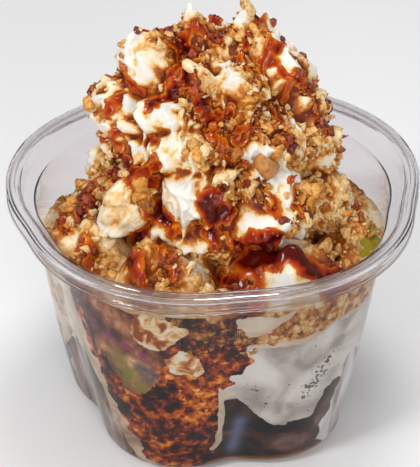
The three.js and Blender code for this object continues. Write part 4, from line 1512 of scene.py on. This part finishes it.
# Pools and runs on the ice cream below the mound: x and y in mm, then start and end radius.
BED_RUNS = {
    "cavity": ([(8.7, -35.5), (12.5, -34.5), (18, -36), (22, -37.5), (26.5, -38)], 4.0, 4.6),
    "cavity right": ([(24, -41), (29, -38), (33, -32)], 3.6, 3.0),
    "cavity left": ([(9.5, -37), (11, -42), (10, -45.5)], 2.6, 1.8),
    "granular": ([(2.4, -36.8), (5.5, -39.7), (8, -42.6)], 2.8, 2.4),
    "mid amber": ([(1, -33), (1.5, -37)], 1.6, 1.4),
    "flake": ([(-23, -33), (-21.8, -37.4), (-20.1, -42.2), (-18.5, -44.6)], 3.0, 1.5),
    "orange left": ([(-14.5, -34.1), (-12.8, -37.7), (-11, -41)], 1.7, 1.2),
    "left amber": ([(-35.1, -27.2), (-33.9, -30.8), (-32.9, -34)], 1.3, 1.0),
    "left heap": ([(-40, -20), (-43, -14)], 2.0, 1.5),
    "right back": ([(36, 16), (40, 8)], 2.2, 1.5),
    "back": ([(-8, 37), (2, 40)], 2.4, 1.6),
    "left back": ([(-36, 12), (-42, 4)], 2.2, 1.4),
}
YELLOW_SYRUP_RUNS = {
    "right": ([(44, -15), (44, -19), (41, -24)], 2.4, 2.8),
    "left back": ([(-42, 24), (-40, 29)], 2.6, 3.0),
}
across = np.arange(-52, 52.1, BED_STEP)
bed_x, bed_y = np.meshgrid(across, across)
bed_points = np.stack([bed_x.ravel(), bed_y.ravel(), top_surface(bed_x.ravel(), bed_y.ravel())], 1)
bed_faces = ring_faces(len(across), len(across), closed=False)
bed_room = wall_points(np.arctan2(bed_points[:, 1], bed_points[:, 0]), bed_points[:, 2])
bed_room = np.linalg.norm(bed_room[:, :2], axis=1) - np.linalg.norm(bed_points[:, :2], axis=1)
bed_faces = bed_faces[(bed_room[bed_faces] > 0).all(1)]


def runs_on_bed(lines):
    """Centres and radii of runs that follow the lower ice cream."""
    runs = []
    for line, start, end in lines.values():
        centres, share = along([(x, y, float(top_surface(x, y))) for x, y in line])
        centres[:, 2] = top_surface(centres[:, 0], centres[:, 1])
        runs.append((centres, uneven_width(centres, start, end, share)))
    return runs


bed_runs = runs_on_bed(BED_RUNS)


def bed_sauce_field(points):
    """Millimetres inside the sauce's edge on the lower ice cream."""
    return run_field(wandering(points), bed_runs) + 0.7 * bumps(points, 3.4, 91, 3)


bed_field = bed_sauce_field(bed_points)
bed_sauce = sauce_mesh("caramel_on_ice_cream", bed_points, bed_faces, bed_field, caramel, 0.4)
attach(bed_sauce, "root")

# Caramel thinned by melted ice cream: clear and olive yellow where it lies against the plastic.
thin_caramel, thin_caramel_output = new_material("thin melted caramel")
finish_material(
    thin_caramel,
    thin_caramel_output,
    {"Base Color": linear("#94841e"), "Roughness": 0.12, "IOR": 1.4, "Specular IOR Level": 0.3},
)
thin_field = run_field(wandering(bed_points), runs_on_bed(YELLOW_SYRUP_RUNS))
thin_sauce = sauce_mesh("thin_caramel_on_ice_cream", bed_points, bed_faces, thin_field, thin_caramel, 0.6)
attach(thin_sauce, "root")

# Crumb falls on the lower ice cream: x and y, spread in mm, and how many.
BED_CRUMB_FALLS = [
    (-45, -10, 3.5, 90), (-47, 0, 3.5, 70), (-41, -19, 3.5, 80), (-36, -28, 4, 70), (-27, -35, 4, 60),
    (-8, -39, 4, 70), (1, -42, 4, 80), (7, -43, 3, 50), (35, -27, 4, 80), (39, -17, 4, 90), (44, -6, 4, 80),
    (43, 6, 4, 70), (36, 21, 5, 70), (22, 33, 5, 70), (4, 40, 5, 80), (-14, 38, 5, 70), (-30, 29, 5, 70),
    (-42, 14, 4, 60), (-14, -43, 3, 50),
]
# Bare places on it: x and y, and a radius in mm.
BARE_BED = [
    (16.5, -43, 5), (46, 6, 8), (45, -5, 5), (27, -42, 3), (-25, -36, 4), (-38, -25, 3.5), (-5, -37, 3.5),
    (30, 28, 6), (-20, 36, 6), (-44, 7, 5),
]
bed_vertices = vertex_places(top_ice_cream)
soaked = np.exp(-np.maximum(-bed_sauce_field(bed_vertices), 0) / 1.5)
bed_stain = 0.36 + 0.16 * bumps(bed_vertices, 10, 92, 4) + 0.3 * soaked
for x, y, spread, _ in BED_CRUMB_FALLS:
    bed_stain += 0.16 * falloff(bed_vertices[:, :2], (x, y), 1.3 * spread)
for x, y, radius in BARE_BED:
    bed_stain -= 0.3 * falloff(bed_vertices[:, :2], (x, y), radius)
top_ice_cream.data.materials.append(cream_material)
give_values(top_ice_cream, "stain_and_shade", bed_stain)

# ---------------------------------------------------------------- nuts and crumbs
# Caramelised nuts, broken biscuit and praline crumbs, one to three millimetres across, thrown on last.
# They stick to the cream and to each other, pale where dry and dark where the caramel has coated them.
CRUMB_SHAPES = 14


def jagged_shapes(count, seed):
    """Small broken chunks, about one unit in radius, each as corners and three-sided faces."""
    random = np.random.default_rng(seed)
    ball = bmesh.new()
    bmesh.ops.create_icosphere(ball, subdivisions=2, radius=1.0)
    sides = np.array([[v.index for v in f.verts] for f in ball.faces])
    sphere = np.array([v.co[:] for v in ball.verts])
    ball.free()
    shapes = []
    for number in range(count):
        corners = 1.15 * sphere * (1 + 0.5 * value_noise(sphere + 9 * number, 0.7, seed))[:, None]
        for _ in range(8):
            face = random.normal(size=3)
            face /= np.linalg.norm(face)
            beyond = np.maximum(corners @ face - random.uniform(0.25, 0.75), 0)
            corners = corners - beyond[:, None] * face
        corners *= random.uniform(0.8, 1.45, 3)
        shapes.append((corners, sides))
    return shapes


def turns(random, count):
    """Random rotations."""
    q = random.normal(size=(count, 4))
    w, x, y, z = (q / np.linalg.norm(q, axis=1)[:, None]).T
    return np.stack(
        [
            np.stack([1 - 2 * (y * y + z * z), 2 * (x * y - z * w), 2 * (x * z + y * w)], 1),
            np.stack([2 * (x * y + z * w), 1 - 2 * (x * x + z * z), 2 * (y * z - x * w)], 1),
            np.stack([2 * (x * z - y * w), 2 * (y * z + x * w), 1 - 2 * (x * x + y * y)], 1),
        ],
        1,
    )


def crumb_mesh(name, places, sizes, material, seed):
    """One mesh of chunks at places, each with its own shape, turn and tone."""
    random = np.random.default_rng(seed)
    shapes = jagged_shapes(CRUMB_SHAPES, seed)
    pick = random.integers(0, CRUMB_SHAPES, len(places))
    turned = turns(random, len(places))
    tones = random.uniform(0, 1, len(places))
    vertices, faces, tone, total = [], [], [], 0
    for number, (corners, sides) in enumerate(shapes):
        chosen = pick == number
        chunks = np.einsum("nij,vj->nvi", turned[chosen], corners) * sizes[chosen, None, None]
        chunks += places[chosen, None]
        starts = total + np.arange(chosen.sum()) * len(corners)
        vertices.append(chunks.reshape(-1, 3))
        faces.append((sides[None] + starts[:, None, None]).reshape(-1, 3))
        tone.append(np.repeat(tones[chosen], len(corners)))
        total += chosen.sum() * len(corners)
    made = mesh_object(name, np.concatenate(vertices), np.concatenate(faces), material)
    give_values(made, "tone", np.concatenate(tone))
    return made


def crumb_material(name, stops, roughness, coat):
    """Broken praline or biscuit: rough and grainy, each piece in its own tone."""
    material, output = new_material(name)
    place = add_node(material, "ShaderNodeTexCoord").outputs["Object"]
    tone = add_node(material, "ShaderNodeAttribute", {"attribute_name": "tone"})
    grain = add_node(
        material,
        "ShaderNodeTexNoise",
        {"Scale": per_mm(1.1), "Detail": 5.0, "Roughness": 0.7},
        {"Vector": place},
    )
    rough = add_node(
        material, "ShaderNodeMath", {"operation": "MULTIPLY_ADD", 1: 1.5, 2: -0.45}, {0: grain.outputs[0]}
    )
    blend = add_node(
        material,
        "ShaderNodeMath",
        {"operation": "MULTIPLY_ADD", 1: 0.5},
        {0: tone.outputs["Fac"], 2: rough.outputs[0]},
    )
    relief = add_node(
        material, "ShaderNodeBump", {"Strength": 0.9, "Distance": 0.0006}, {"Height": grain.outputs[0]}
    )
    colour = add_node(material, "ShaderNodeValToRGB", None, {0: blend.outputs[0]}, stops)
    return finish_material(
        material,
        output,
        {"Roughness": roughness, "IOR": 1.45, "Coat Weight": coat, "Coat Roughness": 0.1},
        {"Base Color": colour.outputs[0], "Normal": relief.outputs[0]},
    )


def crumb_sizes(random, count):
    """Radii in millimetres: most crumbs are small and a few are large."""
    return np.clip(random.lognormal(-0.35, 0.5, count), 0.35, 2.0)


def stay_off(random, bare):
    """Which crumbs to keep: fewer of them where a place is bare."""
    return random.uniform(0, 1, len(bare)) > 1.1 * bare - 0.1


dry_praline = crumb_material(
    "dry praline crumb", [(0.1, "#a86224"), (0.35, "#d99a48"), (0.6, "#f0c986"), (0.9, "#fdeac2")], 0.5, 0.0
)
toasted_praline = crumb_material(
    "toasted praline crumb",
    [(0.1, "#5c2406"), (0.35, "#aa5c10"), (0.6, "#da8e2e"), (0.9, "#f6c470")],
    0.35,
    0.1,
)
glazed_praline = crumb_material(
    "caramel-coated crumb",
    [(0.1, "#2c0601"), (0.4, "#701a02"), (0.65, "#a83c04"), (0.95, "#d87c1a")],
    0.2,
    0.2,
)
roasted_peanut = crumb_material(
    "roasted peanut", [(0.1, "#8e4614"), (0.45, "#b87430"), (0.9, "#dca25a")], 0.35, 0.1
)
random = np.random.default_rng(47)
SPREAD_SHARE = 0.8
THROWN_SHARE = 0.8
spots = []
for fall_place, (_, _, spread, count) in zip(fall_places, falls):
    shift = random.normal(0, spread * SPREAD_SHARE, (int(THROWN_SHARE * count), 3))
    toward = fall_place + shift - CREAM_HEART
    toward /= np.linalg.norm(toward, axis=1)[:, None]
    spots.append(toward)
toward = np.concatenate(spots)
bare = nearness(on_cream(toward), BARE_CREAM + YELLOW_CREAM[:1])
toward = toward[stay_off(random, bare)]
sizes = crumb_sizes(random, len(toward))
crumb_places = on_cream(toward) + toward * (0.15 * sizes)[:, None]
wetness = run_field(crumb_places, cream_runs)
bed_spots = np.concatenate(
    [
        random.normal((x, y), spread * SPREAD_SHARE, (int(THROWN_SHARE * count), 2))
        for x, y, spread, count in BED_CRUMB_FALLS
    ]
)
bare = np.zeros(len(bed_spots))
for x, y, radius in BARE_BED:
    bare = np.maximum(bare, falloff(bed_spots, (x, y), radius))
bed_spots = bed_spots[stay_off(random, bare)]
bed_sizes = crumb_sizes(random, len(bed_spots))
bed_places = np.c_[bed_spots, top_surface(*bed_spots.T) + 0.1 * bed_sizes]
wall_there = wall_points(np.arctan2(bed_spots[:, 1], bed_spots[:, 0]), bed_places[:, 2], 0.0, 0.0)
room = np.linalg.norm(wall_there[:, :2], axis=1) - np.linalg.norm(bed_spots, axis=1)
fits = room > 1.2 * bed_sizes
wetness = np.concatenate([wetness, run_field(bed_places[fits], bed_runs)])
crumb_places = np.concatenate([crumb_places, bed_places[fits]])
sizes = np.concatenate([sizes, bed_sizes[fits]])
wetness += random.normal(0, 1.2, len(sizes))
kind = np.where(wetness > -0.3, 2, np.where(random.uniform(0, 1, len(sizes)) < 0.45, 1, 0))
KINDS = {"dry_crumbs": dry_praline, "toasted_crumbs": toasted_praline, "glazed_crumbs": glazed_praline}
for number, (kind_name, kind_material) in enumerate(KINDS.items()):
    chosen = kind == number
    made = crumb_mesh(kind_name, crumb_places[chosen], sizes[chosen], kind_material, 100 + number)
    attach(made, "root")

# The large pieces are clumps of chunks stuck together, and one peanut. Each fills the box of its CAD
# node, moved in mm and made smaller where it would hang off the cream. The seeds are those of a clump's
# places and of the chunks' shapes.
LARGE_PIECES = {
    "praline_left": {"moved": (-3.0, -0.6, -0.8), "share": 0.85, "seeds": (200, 128)},
    "peanut_right": {"moved": (0.4, -1.8, 0.4), "share": 1.0, "seeds": (122,)},
    "praline_right": {"moved": (0, 0, 0), "share": 1.0, "seeds": (207, 129)},
    "praline_back": {"moved": (0, 0, 0), "share": 1.0, "seeds": (191, 119)},
    "praline_side": {"moved": (0, 0, 0), "share": 1.0, "seeds": (185, 113)},
}
CLUMP_COUNT = 9
BOX_SPAN = 3.6
for node, piece in LARGE_PIECES.items():
    low, high = (np.array(corner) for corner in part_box(node))
    centre = (low + high) / 2 / MM + piece["moved"]
    size = np.linalg.norm(high - low) / MM / BOX_SPAN * piece["share"]
    if node == "peanut_right":
        places, chunk_sizes, material = centre[None], np.array([size]), roasted_peanut
    else:
        stream = np.random.default_rng(piece["seeds"][0])
        places = centre + 0.55 * size * stream.normal(0, 0.8, (CLUMP_COUNT, 3))
        chunk_sizes, material = np.full(CLUMP_COUNT, size * 0.6), toasted_praline
    nut = crumb_mesh(f"{node}_chunks", places, chunk_sizes, material, piece["seeds"][-1])
    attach(nut, "root")
    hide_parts(node)
